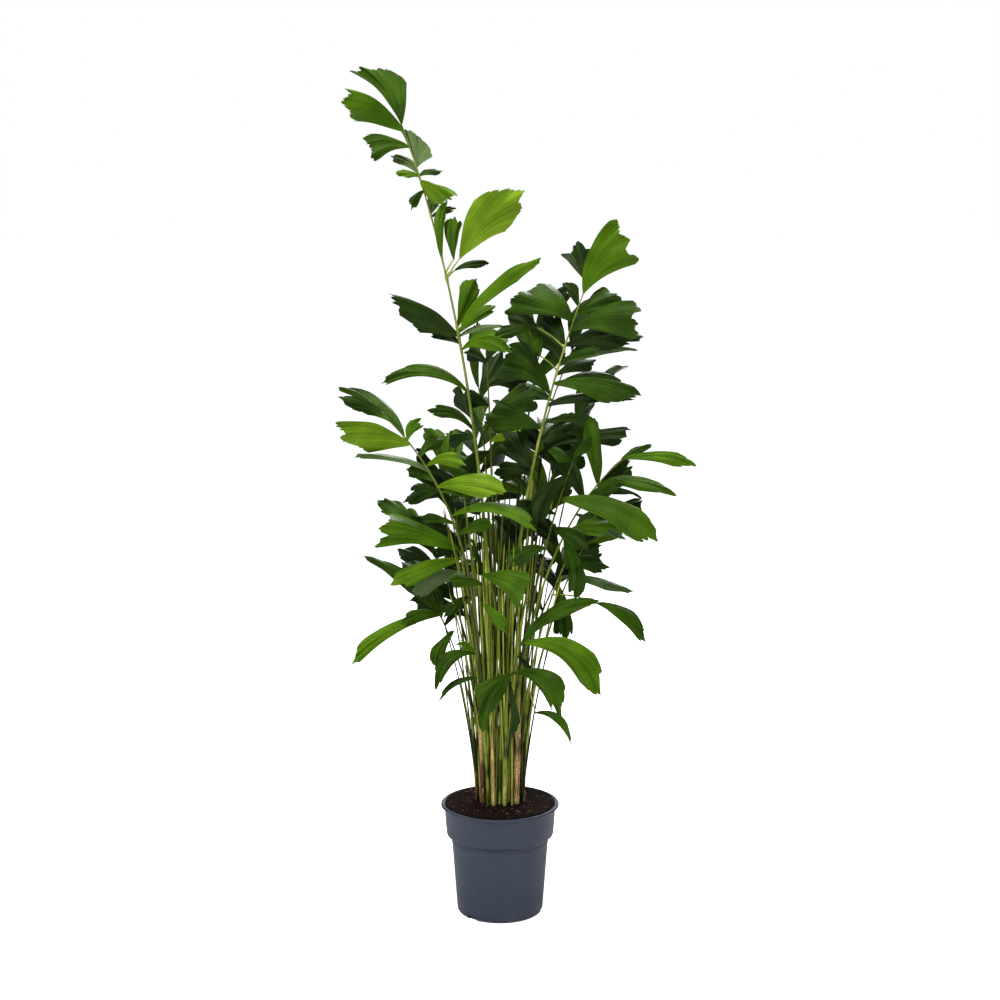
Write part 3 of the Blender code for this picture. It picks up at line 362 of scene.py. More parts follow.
# The fronds that lean away from the front carry leaflets by habit: see by_habit().
BACK_FRONDS = (
    Frond("frond_back_upright", "heart", (-2.6, 9.5, 86), (-4.4, 16, 106), 0.32),
    Frond("frond_back_tall", "heart_right", (4.4, 11, 90), (9, 19, 117), 0.34),
    Frond("frond_back_right_tall", "heart_right", (8.4, 8.4, 82), (17, 14.5, 102), 0.32),
    Frond("frond_back_left", "back_left", (-7.6, 9.4, 72), (-11.8, 17, 87), 0.30),
    Frond("frond_far_left", "back_left", (-10.2, 5.6, 66), (-16.4, 8.6, 77), 0.28),
    Frond("frond_rear", "back_middle", (-3.4, 16, 76), (-5, 26, 94), 0.30),
    Frond("frond_rear_low", "back_middle", (-0.4, 15.6, 62), (1, 26, 72), 0.28),
    Frond("frond_rear_right", "back_right", (7.4, 14.4, 74), (12.6, 23, 91), 0.30),
    Frond("frond_rear_right_low", "back_right", (8.8, 12, 60), (15, 19, 71), 0.28),
    Frond("frond_far_right", "far_right", (12.4, 7.4, 64), (20, 10.6, 79), 0.30),
    Frond("frond_back_left_low", "middle_left", (-7, 6.6, 60), (-12, 13, 66), 0.26),
)


# ---------------- the layout


@dataclass(frozen=True)
class GrownLeaf:
    """A leaflet that found room: where its blade starts and how far it turned aside."""

    leaf: Leaf
    frond: str
    foot: Vector
    aside: float


def limb_point(foot: Vector, via: Vector, tip: Vector, t: float) -> Vector:
    """A point of the smooth limb from foot through via to tip."""
    bend = via * 2 - (foot + tip) / 2
    return foot * (1 - t) ** 2 + bend * (2 * t * (1 - t)) + tip * t**2


def blade_frame(leaf: Leaf, aside: float) -> tuple[Vector, Vector, Vector, Vector]:
    """The directions that a leaflet is built on.

    Args:
        leaf: The leaflet.
        aside: Degrees that it turns about the upright through its foot.

    Returns:
        Its reach in metres, the way it rises, the way its upper face looks, and the way from its lower edge
        to its upper one.
    """
    reach = Vector(leaf.reach) * CM
    reach.rotate(Quaternion(UP, math.radians(aside)))
    along = reach.normalized()
    rise = UP - along * along.dot(UP)
    rise = rise.normalized() if rise.length > 0.05 else -FRONT
    across = along.cross(rise)
    if across.dot(FRONT) < 0:
        across = -across
    turn = math.radians(leaf.turn)
    face = rise * math.cos(turn) + across * math.sin(turn)
    side = rise * math.sin(turn) - across * math.cos(turn)
    return reach, rise, face, side


@dataclass
class Layout:
    """Lays the plant out by the rule of the solids, so that each fine leaflet stands where its solid does."""

    fronds: tuple[Frond, ...] = FRONDS
    back_fronds: tuple[Frond, ...] = BACK_FRONDS
    taken: dict = field(default_factory=dict)
    own: dict = field(default_factory=dict)

    def seat(self, frond: Frond) -> Vector:
        """Where a frond stands on its shoot's top, from the middle: alone there, or on its own side of it.

        Args:
            frond: The frond.

        Returns:
            The place in the level plane, in centimetres.
        """
        sharing = self.fronds + self.back_fronds
        vias = [Vector(f.via[:2]) for f in sharing if f.shoot == frond.shoot]
        middle = sum(vias, Vector((0.0, 0.0))) / len(vias)
        side = Vector(frond.via[:2]) - middle
        return side.normalized() * (frond.girth + SEAT_ROOM) if len(vias) > 1 else side

    def limb(self, frond: Frond) -> tuple[Vector, Vector, Vector]:
        """The foot, the middle and the tip of a frond's rachis, in metres.

        Args:
            frond: The frond.

        Returns:
            The three points.
        """
        top = Vector(SHOOTS[frond.shoot].top)
        foot = (top + Vector((*self.seat(frond), 0.0))) * CM + UP * GAP
        return foot, Vector(frond.via) * CM, Vector(frond.tip) * CM

    def height_along(self, frond: Frond, height: float) -> float:
        """How far along the rachis it reaches a height, by halving.

        Args:
            frond: The frond.
            height: The height in centimetres.

        Returns:
            The part of the way, from 0 to 1.
        """
        low, high = 0.0, 1.0
        for _ in range(20):
            middle = (low + high) / 2
            if limb_point(*self.limb(frond), middle).z < height * CM:
                low = middle
            else:
                high = middle
        return (low + high) / 2

    def by_habit(self, frond: Frond, seed: int) -> tuple[Leaf, ...]:
        """The leaflets that a frond carries by habit: in turn to each side, shorter toward the tip.

        Args:
            frond: The frond.
            seed: The seed of its draws.

        Returns:
            Its leaflets.
        """
        rng = random.Random(seed)
        foot, via, tip = self.limb(frond)
        leaves = []
        for i in range(HABIT_LEAVES):
            t = HABIT_FIRST + (1 - HABIT_FIRST) * (i / (HABIT_LEAVES - 1)) ** 0.9
            place = limb_point(foot, via, tip, t)
            ahead = limb_point(foot, via, tip, min(t + 0.05, 1.0))
            along = (ahead - limb_point(foot, via, tip, t - 0.05)).normalized()
            outward = along.cross(UP).normalized() * (1 if i % 2 else -1)
            last = i == HABIT_LEAVES - 1
            opening = 0.0 if last else math.radians(rng.uniform(45, 75)) * (1.15 - 0.75 * t)
            aim = along * math.cos(opening) + outward * math.sin(opening)
            aim += along.cross(outward) * rng.uniform(-0.45, 0.45) + UP * rng.uniform(-0.35, 0.05)
            reach = aim.normalized() * rng.uniform(*HABIT_LENGTH)
            leaves.append(Leaf(
                place.z / CM, tuple(reach), rng.uniform(*HABIT_WIDTH), spread=rng.choice((-0.5, 0, 0.5)),
                turn=rng.uniform(15, 60), arch=rng.uniform(0.06, 0.16),
            ))
        return tuple(leaves)

    def grow(self) -> tuple[list[Frond], list[GrownLeaf]]:
        """Every frond, and the leaflets that find room, in the order of the tables.

        Returns:
            The fronds with their leaflets, and the leaflets that were grown.
        """
        fronds = list(self.fronds)
        fronds += [replace(f, leaves=self.by_habit(f, seed)) for seed, f in enumerate(self.back_fronds)]
        self.taken = {name: [tree(shoot_shell(shoot, CLEARANCE))] for name, shoot in SHOOTS.items()}
        self.own = {frond.name: [tree(self.rachis_shell(frond))] for frond in fronds}
        for frond in fronds:
            shells = [self.rachis_shell(frond, CLEARANCE)]
            shells += [stalk_shell(*branch, CLEARANCE) for branch in self.branches(frond)]
            self.taken[frond.name] = [tree(shell) for shell in shells]
        found = [self.find_room(frond, leaf) for frond in fronds for leaf in frond.leaves]
        return fronds, [grown for grown in found if grown]

    def branches(self, frond: Frond) -> list[tuple[Vector, Vector]]:
        """The side branches of a frond: where each starts, and how it runs.

        Args:
            frond: The frond.

        Returns:
            The starts and the runs, in metres.
        """
        pairs = sorted({(leaf.height, leaf.stalk) for leaf in frond.leaves if any(leaf.stalk)})
        starts = [limb_point(*self.limb(frond), self.height_along(frond, height)) for height, _ in pairs]
        return [(start, Vector(stalk) * CM) for start, (_, stalk) in zip(starts, pairs)]

    def find_room(self, frond: Frond, leaf: Leaf) -> GrownLeaf | None:
        """Try a leaflet at each turn aside until it touches nothing.

        Args:
            frond: The frond that it belongs to.
            leaf: The leaflet.

        Returns:
            The grown leaflet, or None where it is skipped.
        """
        at = limb_point(*self.limb(frond), self.height_along(frond, leaf.height))
        start = at + Vector(leaf.stalk) * CM
        thickness = max(LEAF_THICKNESS, Vector(leaf.reach).length * CM / SLENDERNESS)
        for aside in TURNS_ASIDE:
            room = tree(coarse_blade(start, leaf, aside, thickness + 2 * CLEARANCE, CLEARANCE))
            outer = tree(coarse_blade(start, leaf, aside, thickness + CLEARANCE, start=OWN_START))
            others = (t for name, trees in self.taken.items() if name != frond.name for t in trees)
            if any(touch(room, t) for t in others) or any(touch(outer, t) for t in self.own[frond.name]):
                continue
            self.taken[frond.name].append(room)
            self.own[frond.name].append(outer)
            return GrownLeaf(leaf, frond.name, start, aside)
        return None

    def rachis_shell(self, frond: Frond, proud: float = 0.0) -> Shell:
        """The plain shell of a frond's petiole and rachis.

        Args:
            frond: The frond.
            proud: How much larger it is made.

        Returns:
            Its vertices and faces.
        """
        foot, via, tip = self.limb(frond)
        steps = max(5, round((tip - foot).length / RACHIS_STEP))
        points = [limb_point(foot, via, tip, i / steps) for i in range(steps + 1)]
        girth, end = frond.girth * CM + proud, RACHIS_TIP + proud
        radii = [girth + (end - girth) * (i / steps) ** TAPER for i in range(steps + 1)]
        return tube(points, radii, RACHIS_SIDES)


def ribs(leaf: Leaf) -> tuple[float, ...]:
    """Where the ribs of a leaflet's solid run: one ends in its tail, and a wide blade has more of them.

    Args:
        leaf: The leaflet.

    Returns:
        Their places across the blade, from 0 to 1.
    """
    tail = (1 - leaf.spread) / 2
    if leaf.width <= WIDE_LEAF:
        return (0.0, tail if 0 < tail < 1 else 0.5, 1.0)
    if tail == 0.5:
        return (0.0, 0.25, 0.5, 0.75, 1.0)
    if tail in (0, 1):
        return (0.0, 0.33, 0.67, 1.0)
    return tuple(sorted((0.0, tail, tail / 2 if tail > 0.5 else 0.6, 1.0)))


def coarse_blade(
    foot: Vector, leaf: Leaf, aside: float, thickness: float, proud: float = 0.0, start: float = 0.0
) -> Shell:
    """The closed shell of a leaflet's solid, or of the part of it beyond a start.

    Args:
        foot: Where the blade starts.
        leaf: The leaflet.
        aside: Degrees that it turns aside.
        thickness: How thick it is.
        proud: How much larger it is made.
        start: The step that it begins at.

    Returns:
        Its vertices and faces.
    """
    reach, rise, face, side = blade_frame(leaf, aside)
    length, along = reach.length, reach.normalized()
    width, tail = leaf.width * CM, (1 - leaf.spread) / 2

    def surface(u: float, step: float) -> Vector:
        """The blade's middle surface.

        Args:
            u: From its lower edge to its upper one.
            step: From its foot to its jagged edge.

        Returns:
            The point.
        """
        off = abs(u - tail) / max(tail, 1 - tail)
        s = (1 - (1 - leaf.shoulder) * off**TAIL_CURVE) * step
        c = width * (u - tail) * step**leaf.wedge + (2 * u - 1) * (STALK_RADIUS * (1 - step) + proud)
        arch = rise * (4 * leaf.arch * length * s * (1 - s))
        middle = foot + along * (step * proud - (1 - step) * SUNK) + reach * s + arch + side * c
        return middle - face * (CUP * c * c / width)

    columns = ribs(leaf)
    rows = [[surface(u, start) for u in (0.0, 1.0)]]
    rows += [[surface(u, step) for u in columns] for step in (WAIST, 1.0)]
    count = len(columns)
    lift = face * (thickness / 2)
    vertices = [p + lift for row in rows for p in row]
    under = len(vertices)
    vertices += [p - lift for row in rows for p in row]
    middle = count // 2
    sheet = [(0, 1, 2 + middle)]
    sheet += [(0 if j < middle else 1, 2 + j + 1, 2 + j) for j in range(count - 1)]
    sheet += [(2 + j, 3 + j, 3 + j + count, 2 + j + count) for j in range(count - 1)]
    last = 2 + count
    edge = [0, 1, 1 + count] + [last + j for j in range(count - 1, -1, -1)] + [2]
    faces = sheet + [tuple(under + k for k in f[::-1]) for f in sheet]
    faces += [(a, under + a, under + b, b) for a, b in zip(edge, edge[1:] + edge[:1])]
    return vertices, faces


def tube(points: list, radii: list, sides: int, level_ends: bool = False) -> Shell:
    """The closed shell of a round limb. Its first ring lies level, and its last with level_ends.

    Args:
        points: The points that it runs through.
        radii: Its radius at each of them.
        sides: How many sides it has.
        level_ends: Whether its last ring lies level too.

    Returns:
        Its vertices and faces.
    """
    vertices, faces = [], []
    for i, (point, radius) in enumerate(zip(points, radii)):
        tangent = (points[min(i + 1, len(points) - 1)] - points[max(i - 1, 0)]).normalized()
        if i == 0 or (level_ends and i == len(points) - 1):
            tangent = UP
        first = tangent.cross(FRONT).normalized()
        second = tangent.cross(first)
        for k in range(sides):
            angle = math.tau * k / sides
            vertices.append(point + (first * math.cos(angle) + second * math.sin(angle)) * radius)
        if i:
            a, b = (i - 1) * sides, i * sides
            faces += [(a + k, a + (k + 1) % sides, b + (k + 1) % sides, b + k) for k in range(sides)]
    faces += [tuple(range(sides))[::-1], tuple(range(len(vertices) - sides, len(vertices)))]
    return vertices, faces


def shoot_path(shoot: Shoot) -> tuple[Vector, Vector, Vector]:
    """A shoot's foot on the soil, the point where it bellies, and its top, in metres.

    Args:
        shoot: The shoot.

    Returns:
        The three points.
    """
    foot = Vector((*shoot.foot, 0)) * CM + UP * (SOIL_TOP + GAP)
    top = Vector(shoot.top) * CM
    belly = foot.lerp(top, 0.4) + Vector((foot.x - top.x, foot.y - top.y, 0)) * 0.12
    return foot, belly, top


def shoot_shell(shoot: Shoot, proud: float = 0.0) -> Shell:
    """The plain shell of a shoot.

    Args:
        shoot: The shoot.
        proud: How much larger it is made.

    Returns:
        Its vertices and faces.
    """
    foot, belly, top = shoot_path(shoot)
    girth = shoot.girth * CM + proud
    points = [foot, foot + (top - foot) * (FLARE_HEIGHT / (top - foot).length), belly, top]
    return tube(points, [girth * k for k in SWELL], SHOOT_SIDES, level_ends=True)


def stalk_shell(start: Vector, stalk: Vector, proud: float = 0.0) -> Shell:
    """The plain shell of a side branch."""
    points = [start - stalk * 0.02, start + stalk * 0.5, start + stalk * 1.03]
    return tube(points, [STALK_RADIUS * k + proud for k in (1.15, 1.0, 0.85)], STALK_SIDES)


def tree(shell: Shell) -> tuple[BVHTree, Vector, Vector]:
    """A search tree of a shell, and its box, to find what touches it.

    Args:
        shell: The shell's vertices and faces.

    Returns:
        The tree and the box's lowest and highest corners.
    """
    vertices, faces = shell
    low = Vector([min(v[k] for v in vertices) for k in range(3)])
    high = Vector([max(v[k] for v in vertices) for k in range(3)])
    return BVHTree.FromPolygons(vertices, faces), low, high


def touch(one: tuple, other: tuple) -> bool:
    """Whether two search trees' shells cross."""
    apart = any(one[1][k] > other[2][k] or other[1][k] > one[2][k] for k in range(3))
    return not apart and bool(one[0].overlap(other[0]))


# ---------------- the bench: meshes and edit-mode work


@dataclass
class Sheaf:
    """Arrays of quads that are gathered and then made one mesh: leaflets of one tone, or limbs."""

    shells: list = field(default_factory=list)
    count: int = 0

    def add(self, points: Array, quads: Array, uv: Array, tint: float, slots: Array | None = None) -> None:
        """Gather one shell.

        Args:
            points: Its vertices.
            quads: Its faces, four vertices each.
            uv: A place on the pattern for each vertex.
            tint: How light or dark it is among its kind, from -1 to 1.
            slots: Each face's material slot, the first one where it isn't given.
        """
        slots = np.zeros(len(quads)) if slots is None else slots
        self.shells.append((points, quads + self.count, uv, np.full(len(points), tint), slots))
        self.count += len(points)

    def mesh(self, name: str, sharp_angle: float = 50.0) -> Piece:
        """Make one object of all that was gathered.

        Args:
            name: The piece's name.
            sharp_angle: Degrees between two faces from which their edge is sharp.

        Returns:
            The object, in the scene.
        """
        points, quads, uvs, tints, slots = (np.concatenate(part) for part in zip(*self.shells))
        mesh = bpy.data.meshes.new(name)
        mesh.vertices.add(len(points))
        mesh.vertices.foreach_set("co", points.astype(np.float32).ravel())
        mesh.loops.add(quads.size)
        mesh.loops.foreach_set("vertex_index", quads.astype(np.int32).ravel())
        mesh.polygons.add(len(quads))
        mesh.polygons.foreach_set("loop_start", np.arange(0, quads.size, 4, dtype=np.int32))
        mesh.polygons.foreach_set("material_index", slots.astype(np.int32))
        mesh.update(calc_edges=True)
        pattern = mesh.uv_layers.new(name="pattern")
        pattern.data.foreach_set("uv", uvs[quads.ravel()].astype(np.float32).ravel())
        tint = mesh.attributes.new("tint", "FLOAT", "POINT")
        tint.data.foreach_set("value", tints.astype(np.float32))
        mesh.shade_smooth()
        mesh.set_sharp_from_angle(angle=math.radians(sharp_angle))
        obj = bpy.data.objects.new(name, mesh)
        bpy.context.scene.collection.objects.link(obj)
        return obj


def deselect() -> None:
    """Leave nothing selected, so that an operator meets only what it is meant for."""
    if bpy.context.object and bpy.context.object.mode != "OBJECT":
        bpy.ops.object.mode_set(mode="OBJECT")
    bpy.ops.object.select_all(action="DESELECT")


def only(obj: Piece) -> None:
    """Select one object and make it the active one.

    Args:
        obj: The object.
    """
    deselect()
    obj.select_set(True)
    bpy.context.view_layer.objects.active = obj


def ring(name: str, radius: float, height: float, sides: int, centre: tuple = (0.0, 0.0)) -> Piece:
    """An open circle to draw a turned piece from, in edit mode with the circle selected.

    Args:
        name: The piece's name.
        radius: The circle's radius.
        height: Its height.
        sides: How many vertices it has.
        centre: Its centre in the level plane.

    Returns:
        The object.
    """
    deselect()
    bpy.ops.mesh.primitive_circle_add(vertices=sides, radius=radius, location=(*centre, height))
    obj = bpy.context.object
    obj.name = name
    bpy.ops.object.transform_apply(location=True, rotation=True, scale=True)
    bpy.ops.object.mode_set(mode="EDIT")
    bpy.ops.mesh.select_all(action="SELECT")
    return obj


def draw_up(centre: Vector, step: Vector, growth: float) -> None:
    """Extrude the selected ring by a step and let it grow about its new centre.

    Args:
        centre: The ring's centre before the step.
        step: How it moves.
        growth: How much wider it becomes.
    """
    bpy.ops.mesh.extrude_region_move(TRANSFORM_OT_translate={"value": tuple(step)})
    if abs(growth - 1.0) > 1e-6:
        bpy.ops.transform.resize(value=(growth, growth, 1.0), center_override=tuple(centre + step))


def turned(name: str, profile: list[tuple[float, float]], sides: int) -> Piece:
    """A closed turned piece, drawn ring by ring along its profile and closed at both ends.

    Args:
        name: The piece's name.
        profile: (radius, height) of each ring, from the first to the last.
        sides: How many sides it has.

    Returns:
        The object, in object mode.
    """
    radius, height = profile[0]
    obj = ring(name, radius, height, sides)
    bpy.ops.mesh.edge_face_add()
    bpy.ops.mesh.select_all(action="DESELECT")
    bpy.ops.mesh.select_mode(type="EDGE")
    bpy.ops.mesh.select_all(action="SELECT")
    for before, after in zip(profile, profile[1:]):
        centre = Vector((0.0, 0.0, before[1]))
        step = Vector((0.0, 0.0, after[1] - before[1]))
        bpy.ops.mesh.extrude_edges_move(TRANSFORM_OT_translate={"value": tuple(step)})
        growth = after[0] / before[0]
        bpy.ops.transform.resize(value=(growth, growth, 1.0), center_override=tuple(centre + step))
    bpy.ops.mesh.edge_face_add()
    bpy.ops.mesh.select_all(action="SELECT")
    bpy.ops.mesh.remove_doubles(threshold=1e-6)
    bpy.ops.mesh.normals_make_consistent(inside=False)
    bpy.ops.object.mode_set(mode="OBJECT")
    return obj


def carved(obj: Piece, tools: list[Piece]) -> None:
    """Cut tools out of a piece, apply the cut, and drop the tools.

    Args:
        obj: The piece.
        tools: What is cut out of it.
    """
    only(tools[0])
    for tool in tools:
        tool.select_set(True)
    bpy.ops.object.join()
    cutter = bpy.context.object
    only(obj)
    modifier = obj.modifiers.new("cut", "BOOLEAN")
    modifier.operation = "DIFFERENCE"
    modifier.solver = "EXACT"
    modifier.object = cutter
    bpy.ops.object.modifier_apply(modifier=modifier.name)
    bpy.data.objects.remove(cutter)


# ---------------- finishes


class Palette:
    """Adds nodes to a tree, sets their plain inputs and links the others."""

    def __init__(self, nodes: NodeTree) -> None:
        """Start on a node tree."""
        self.tree = nodes

    def put(self, kind: str, settings: dict | None = None, **inputs: Any) -> Node:
        """Add a node.

        Args:
            kind: Its type without the word ShaderNode.
            settings: Its properties.
            inputs: What its inputs get, as for fill().

        Returns:
            The node.
        """
        node = self.tree.nodes.new("ShaderNode" + kind)
        for key, value in (settings or {}).items():
            setattr(node, key, value)
        self.fill(node, **inputs)
        return node

    def fill(self, node: Node, **inputs: Any) -> None:
        """Give a node's inputs, named with underscores for spaces or as _0 by number, what they hold."""
        for key, value in inputs.items():
            self.feed(node.inputs[int(key[1:]) if key[0] == "_" else key.replace("_", " ")], value)

    def feed(self, socket: Socket, value: Any) -> None:
        """Give an input its value, or link it.

        Args:
            socket: The input.
            value: A number, a colour, an output socket, or a node, whose first output is meant.
        """
        if isinstance(value, Socket):
            self.tree.links.new(value, socket)
        elif isinstance(value, Node):
            self.tree.links.new(value.outputs[0], socket)
        else:
            socket.default_value = value

    def blend(self, mask: Any, first: Any, second: Any) -> Socket:
        """Mix two colours, the second where the mask is 1."""
        return self.put("Mix", {"data_type": "RGBA"}, _0=mask, _6=first, _7=second).outputs[2]

    def spread(self, mask: Any, low: float, high: float, to_low: float = 0.0, to_high: float = 1.0) -> Socket:
        """Stretch a mask from the range low to high to the range to_low to to_high, clamped."""
        ends = {"From_Min": low, "From_Max": high, "To_Min": to_low, "To_Max": to_high}
        return self.put("MapRange", {"clamp": True}, Value=mask, **ends).outputs[0]

    def coats(self, shade: Any, *layers: tuple) -> Socket:
        """Lay colours over one another.

        Args:
            shade: The lowest colour.
            layers: For each colour above it the mask, the ranges that spread() takes it through, and itself.

        Returns:
            The socket of what shows in the end.
        """
        for mask, *ranges, above in layers:
            shade = self.blend(self.spread(mask, *ranges), shade, above)
        return shade

    def sums(self, how: str, first: Any, second: Any) -> Socket:
        """Work out two values: ADD, MULTIPLY and the like."""
        return self.put("Math", {"operation": how}, _0=first, _1=second).outputs[0]

    def place(self) -> Socket:
        """Where a point lies on its piece."""
        return self.put("TexCoord").outputs["Object"]

    def tint(self) -> Socket:
        """How light or dark a leaflet, limb or chip is among its kind, from -1 to 1."""
        return self.put("Attribute", {"attribute_name": "tint"}).outputs["Fac"]

    def grain(self, place: Any, scale: float, detail: float = 2.0) -> Socket:
        """Plain noise."""
        return self.put("TexNoise", Vector=place, Scale=scale, Detail=detail).outputs[0]

    def mottle(self, place: Socket, scale: float, grit: float) -> Socket:
        """The mask of soft blotches: see Effects.mottle()."""
        node = self.put("Group", {"node_tree": Effects.mottle()}, Vector=place, Scale=scale, Grit=grit)
        return node.outputs["Mask"]

    def veins(self, per_length: float, wander: float) -> tuple[Socket, Socket, Socket]:
        """Veins, bands and their height along the piece's own pattern: see Effects.veins().

        Args:
            per_length: How many veins there are across a centimetre.
            wander: How far they stray.

        Returns:
            The three sockets.
        """
        pattern = self.put("UVMap", {"uv_map": "pattern"})
        group = {"node_tree": Effects.veins()}
        node = self.put("Group", group, Vector=pattern, Per_Length=per_length, Wander=wander)
        return tuple(node.outputs)

    def bump(self, strength: float, height: Any, distance: float = 0.001) -> Node:
        """A relief for a shader's normal."""
        return self.put("Bump", Strength=strength, Distance=distance, Height=height)


def colour(red: float, green: float, blue: float) -> tuple[float, float, float, float]:
    """A colour for a shader, from values as a screen shows them.

    Args:
        red: The red part, from 0 to 255.
        green: The green part.
        blue: The blue part.

    Returns:
        The linear colour with a full alpha.
    """
    parts = []
    for value in (red, green, blue):
        part = value / 255
        parts.append(part / 12.92 if part <= 0.04045 else ((part + 0.055) / 1.055) ** 2.4)
    return (*parts, 1.0)


class Effects:
    """The shader groups that several finishes share. Each is built once."""

    @staticmethod
    def group(name: str, takes: dict, gives: tuple) -> tuple[NodeTree, Palette, Any, Node]:
        """Start a shader group with named sockets.

        Args:
            name: The group's name.
            takes: Each input's name and default, a number or None for a vector.
            gives: The names of the outputs.

        Returns:
            The group, its palette, its inputs by name, and the node that takes its outputs.
        """
        group = bpy.data.node_groups.new(name, "ShaderNodeTree")
        for label, value in takes.items():
            kind = "NodeSocketVector" if value is None else "NodeSocketFloat"
            socket = group.interface.new_socket(label, in_out="INPUT", socket_type=kind)
            if value is not None:
                socket.default_value = value
        for label in gives:
            group.interface.new_socket(label, in_out="OUTPUT", socket_type="NodeSocketFloat")
        ins, end = group.nodes.new("NodeGroupInput").outputs, group.nodes.new("NodeGroupOutput")
        return group, Palette(group), ins, end

    @staticmethod
    @cache
    def mottle() -> NodeTree:
        """Soft blotches at two scales, as on leaves, plastic and old sheaths.

        Returns:
            The group, with the output Mask.
        """
        group, p, ins, end = Effects.group("mottle", {"Vector": None, "Scale": 20.0, "Grit": 0.3}, ("Mask",))
        wide = p.grain(ins["Vector"], ins["Scale"], 3.0)
        fine = p.grain(ins["Vector"], p.sums("MULTIPLY", ins["Scale"], 7.3))
        mixed = p.put("Mix", {"data_type": "FLOAT"}, _0=ins["Grit"], _2=wide, _3=fine)
        p.fill(end, Mask=p.spread(mixed, 0.36, 0.64))
        return group

    @staticmethod
    @cache
    def veins() -> NodeTree:
        """Fine veins along a pattern's second direction, uneven in strength, as on leaflets and sheaths.

        Returns:
            The group, with the outputs Veins, Bands and Height.
        """
        takes = {"Vector": None, "Per Length": 9.0, "Wander": 0.15}
        group, p, ins, end = Effects.group("veins", takes, ("Veins", "Bands", "Height"))
        across, along, _ = p.put("SeparateXYZ", Vector=ins["Vector"]).outputs
        drift = p.sums("SUBTRACT", p.grain(ins["Vector"], 0.35, 1.0), 0.5)
        across = p.sums("ADD", across, p.sums("MULTIPLY", drift, ins["Wander"]))

        def streaks(count: Any, length: float, **kind: float) -> Socket:
            """Noise drawn out along the pattern, count streaks to a centimetre."""
            at = p.put("CombineXYZ", X=p.sums("MULTIPLY", across, count), Y=p.sums("MULTIPLY", along, length))
            return p.put("TexNoise", {"noise_dimensions": "2D"}, Vector=at, Scale=1.0, **kind).outputs[0]

        veins = p.spread(streaks(ins["Per Length"], 0.10, Detail=1.5, Roughness=0.6), 0.40, 0.62)
        bands = p.spread(streaks(1.7, 0.12, Detail=1.0), 0.36, 0.66)
        height = p.sums("ADD", p.sums("MULTIPLY", veins, 0.5), bands)
        p.fill(end, Veins=veins, Bands=bands, Height=height)
        return group


@dataclass(frozen=True)
class Finish:
    """What every finish holds. Each kind adds its colours and its roughness, and its own dress()."""

    name: str

    def dress(self, p: Palette, shader: Node) -> None:
        """Colour the shader. Each kind does it in its own way."""
        raise NotImplementedError

    def make(self) -> bpy.types.Material:
        """Build the material.

        Returns:
            The material.
        """
        material = bpy.data.materials.new(self.name)
        material.use_nodes = True
        shader = material.node_tree.nodes["Principled BSDF"]
        shader.inputs["Roughness"].default_value = self.roughness
        self.dress(Palette(material.node_tree), shader)
        return material


@dataclass(frozen=True)
class LeafFinish(Finish):
    """A leaflet's face: fine veins fanning from its foot, darker bands that are partly its own streaks and
    partly painted shade along its pleats, patches of painted light and painted shade, and a waxy gloss.
    """

    base: tuple
    vein: tuple
    dark: tuple
    roughness: float
    relief: float = 0.34
    gloss: float = 0.09
    # sunlit: how strongly the patches of painted light lighten the face toward the vein colour.
    sunlit: float = 0.45
    sheen: tuple = (0.80, 1.0, 0.55, 1.0)

    def dress(self, p: Palette, shader: Node) -> None:
        """Colour the leaflet by its veins, its blotches and its tint, and lay patches of painted light and
        painted shade over it.

        Args:
            p: Adds the nodes.
            shader: What they feed.
        """
        veins, bands, height = p.veins(11.0, 0.25)
        place, tint = p.place(), p.tint()
        blotch, painted_light_and_shade = p.mottle(place, 28.0, 0.25), p.grain(place, 17.0, 1.0)
        # The bands are partly the leaflet's own streaks and partly painted shade along its pleats; the
        # patches lighten toward the vein colour as painted light and darken as painted shade.
        shade = p.coats(
            self.base,
            (bands, 0.0, 1.0, 0.0, 0.85, self.dark),
            (veins, 0.0, 1.0, 0.0, 0.60, self.vein),
            (painted_light_and_shade, 0.50, 0.66, 0.0, self.sunlit, self.vein),
            (painted_light_and_shade, 0.34, 0.48, 0.55, 0.0, self.dark),
            (blotch, 0.0, 1.0, 0.0, 0.35, self.dark),
            (tint, 0.0, 1.0, 0.0, 0.45, self.vein),
            (tint, -1.0, 0.0, 0.45, 0.0, self.dark),
        )
        rough = p.spread(blotch, 0.0, 1.0, self.roughness - 0.06, self.roughness + 0.10)
        p.fill(shader, Base_Color=shade, Roughness=rough, Normal=p.bump(self.relief, height),
               Specular_IOR_Level=self.gloss, Specular_Tint=self.sheen)


@dataclass(frozen=True)
class StalkFinish(Finish):
    """A petiole or rachis: fibrous, streaked lengthwise, with dark flecks."""

    base: tuple = colour(120, 140, 46)
    pale: tuple = colour(166, 176, 78)
    dark: tuple = colour(62, 80, 26)
    fleck: tuple = colour(52, 44, 22)
    roughness: float = 0.45

    def dress(self, p: Palette, shader: Node) -> None:
        """Colour the limb by its streaks, its flecks and its tint.

        Args:
            p: Adds the nodes.
            shader: What they feed.
        """
        veins, bands, height = p.veins(7.0, 0.4)
        shade = p.coats(
            p.blend(bands, self.base, self.pale),
            (veins, 0.35, 1.0, 0.0, 0.6, self.dark),
            (p.tint(), -1.0, 0.0, 0.9, 0.0, self.dark),
            (p.mottle(p.place(), 45.0, 0.4), 0.72, 0.95, 0.0, 0.55, self.fleck),
        )
        p.fill(shader, Base_Color=shade, Normal=p.bump(0.25, height), Specular_IOR_Level=0.15)


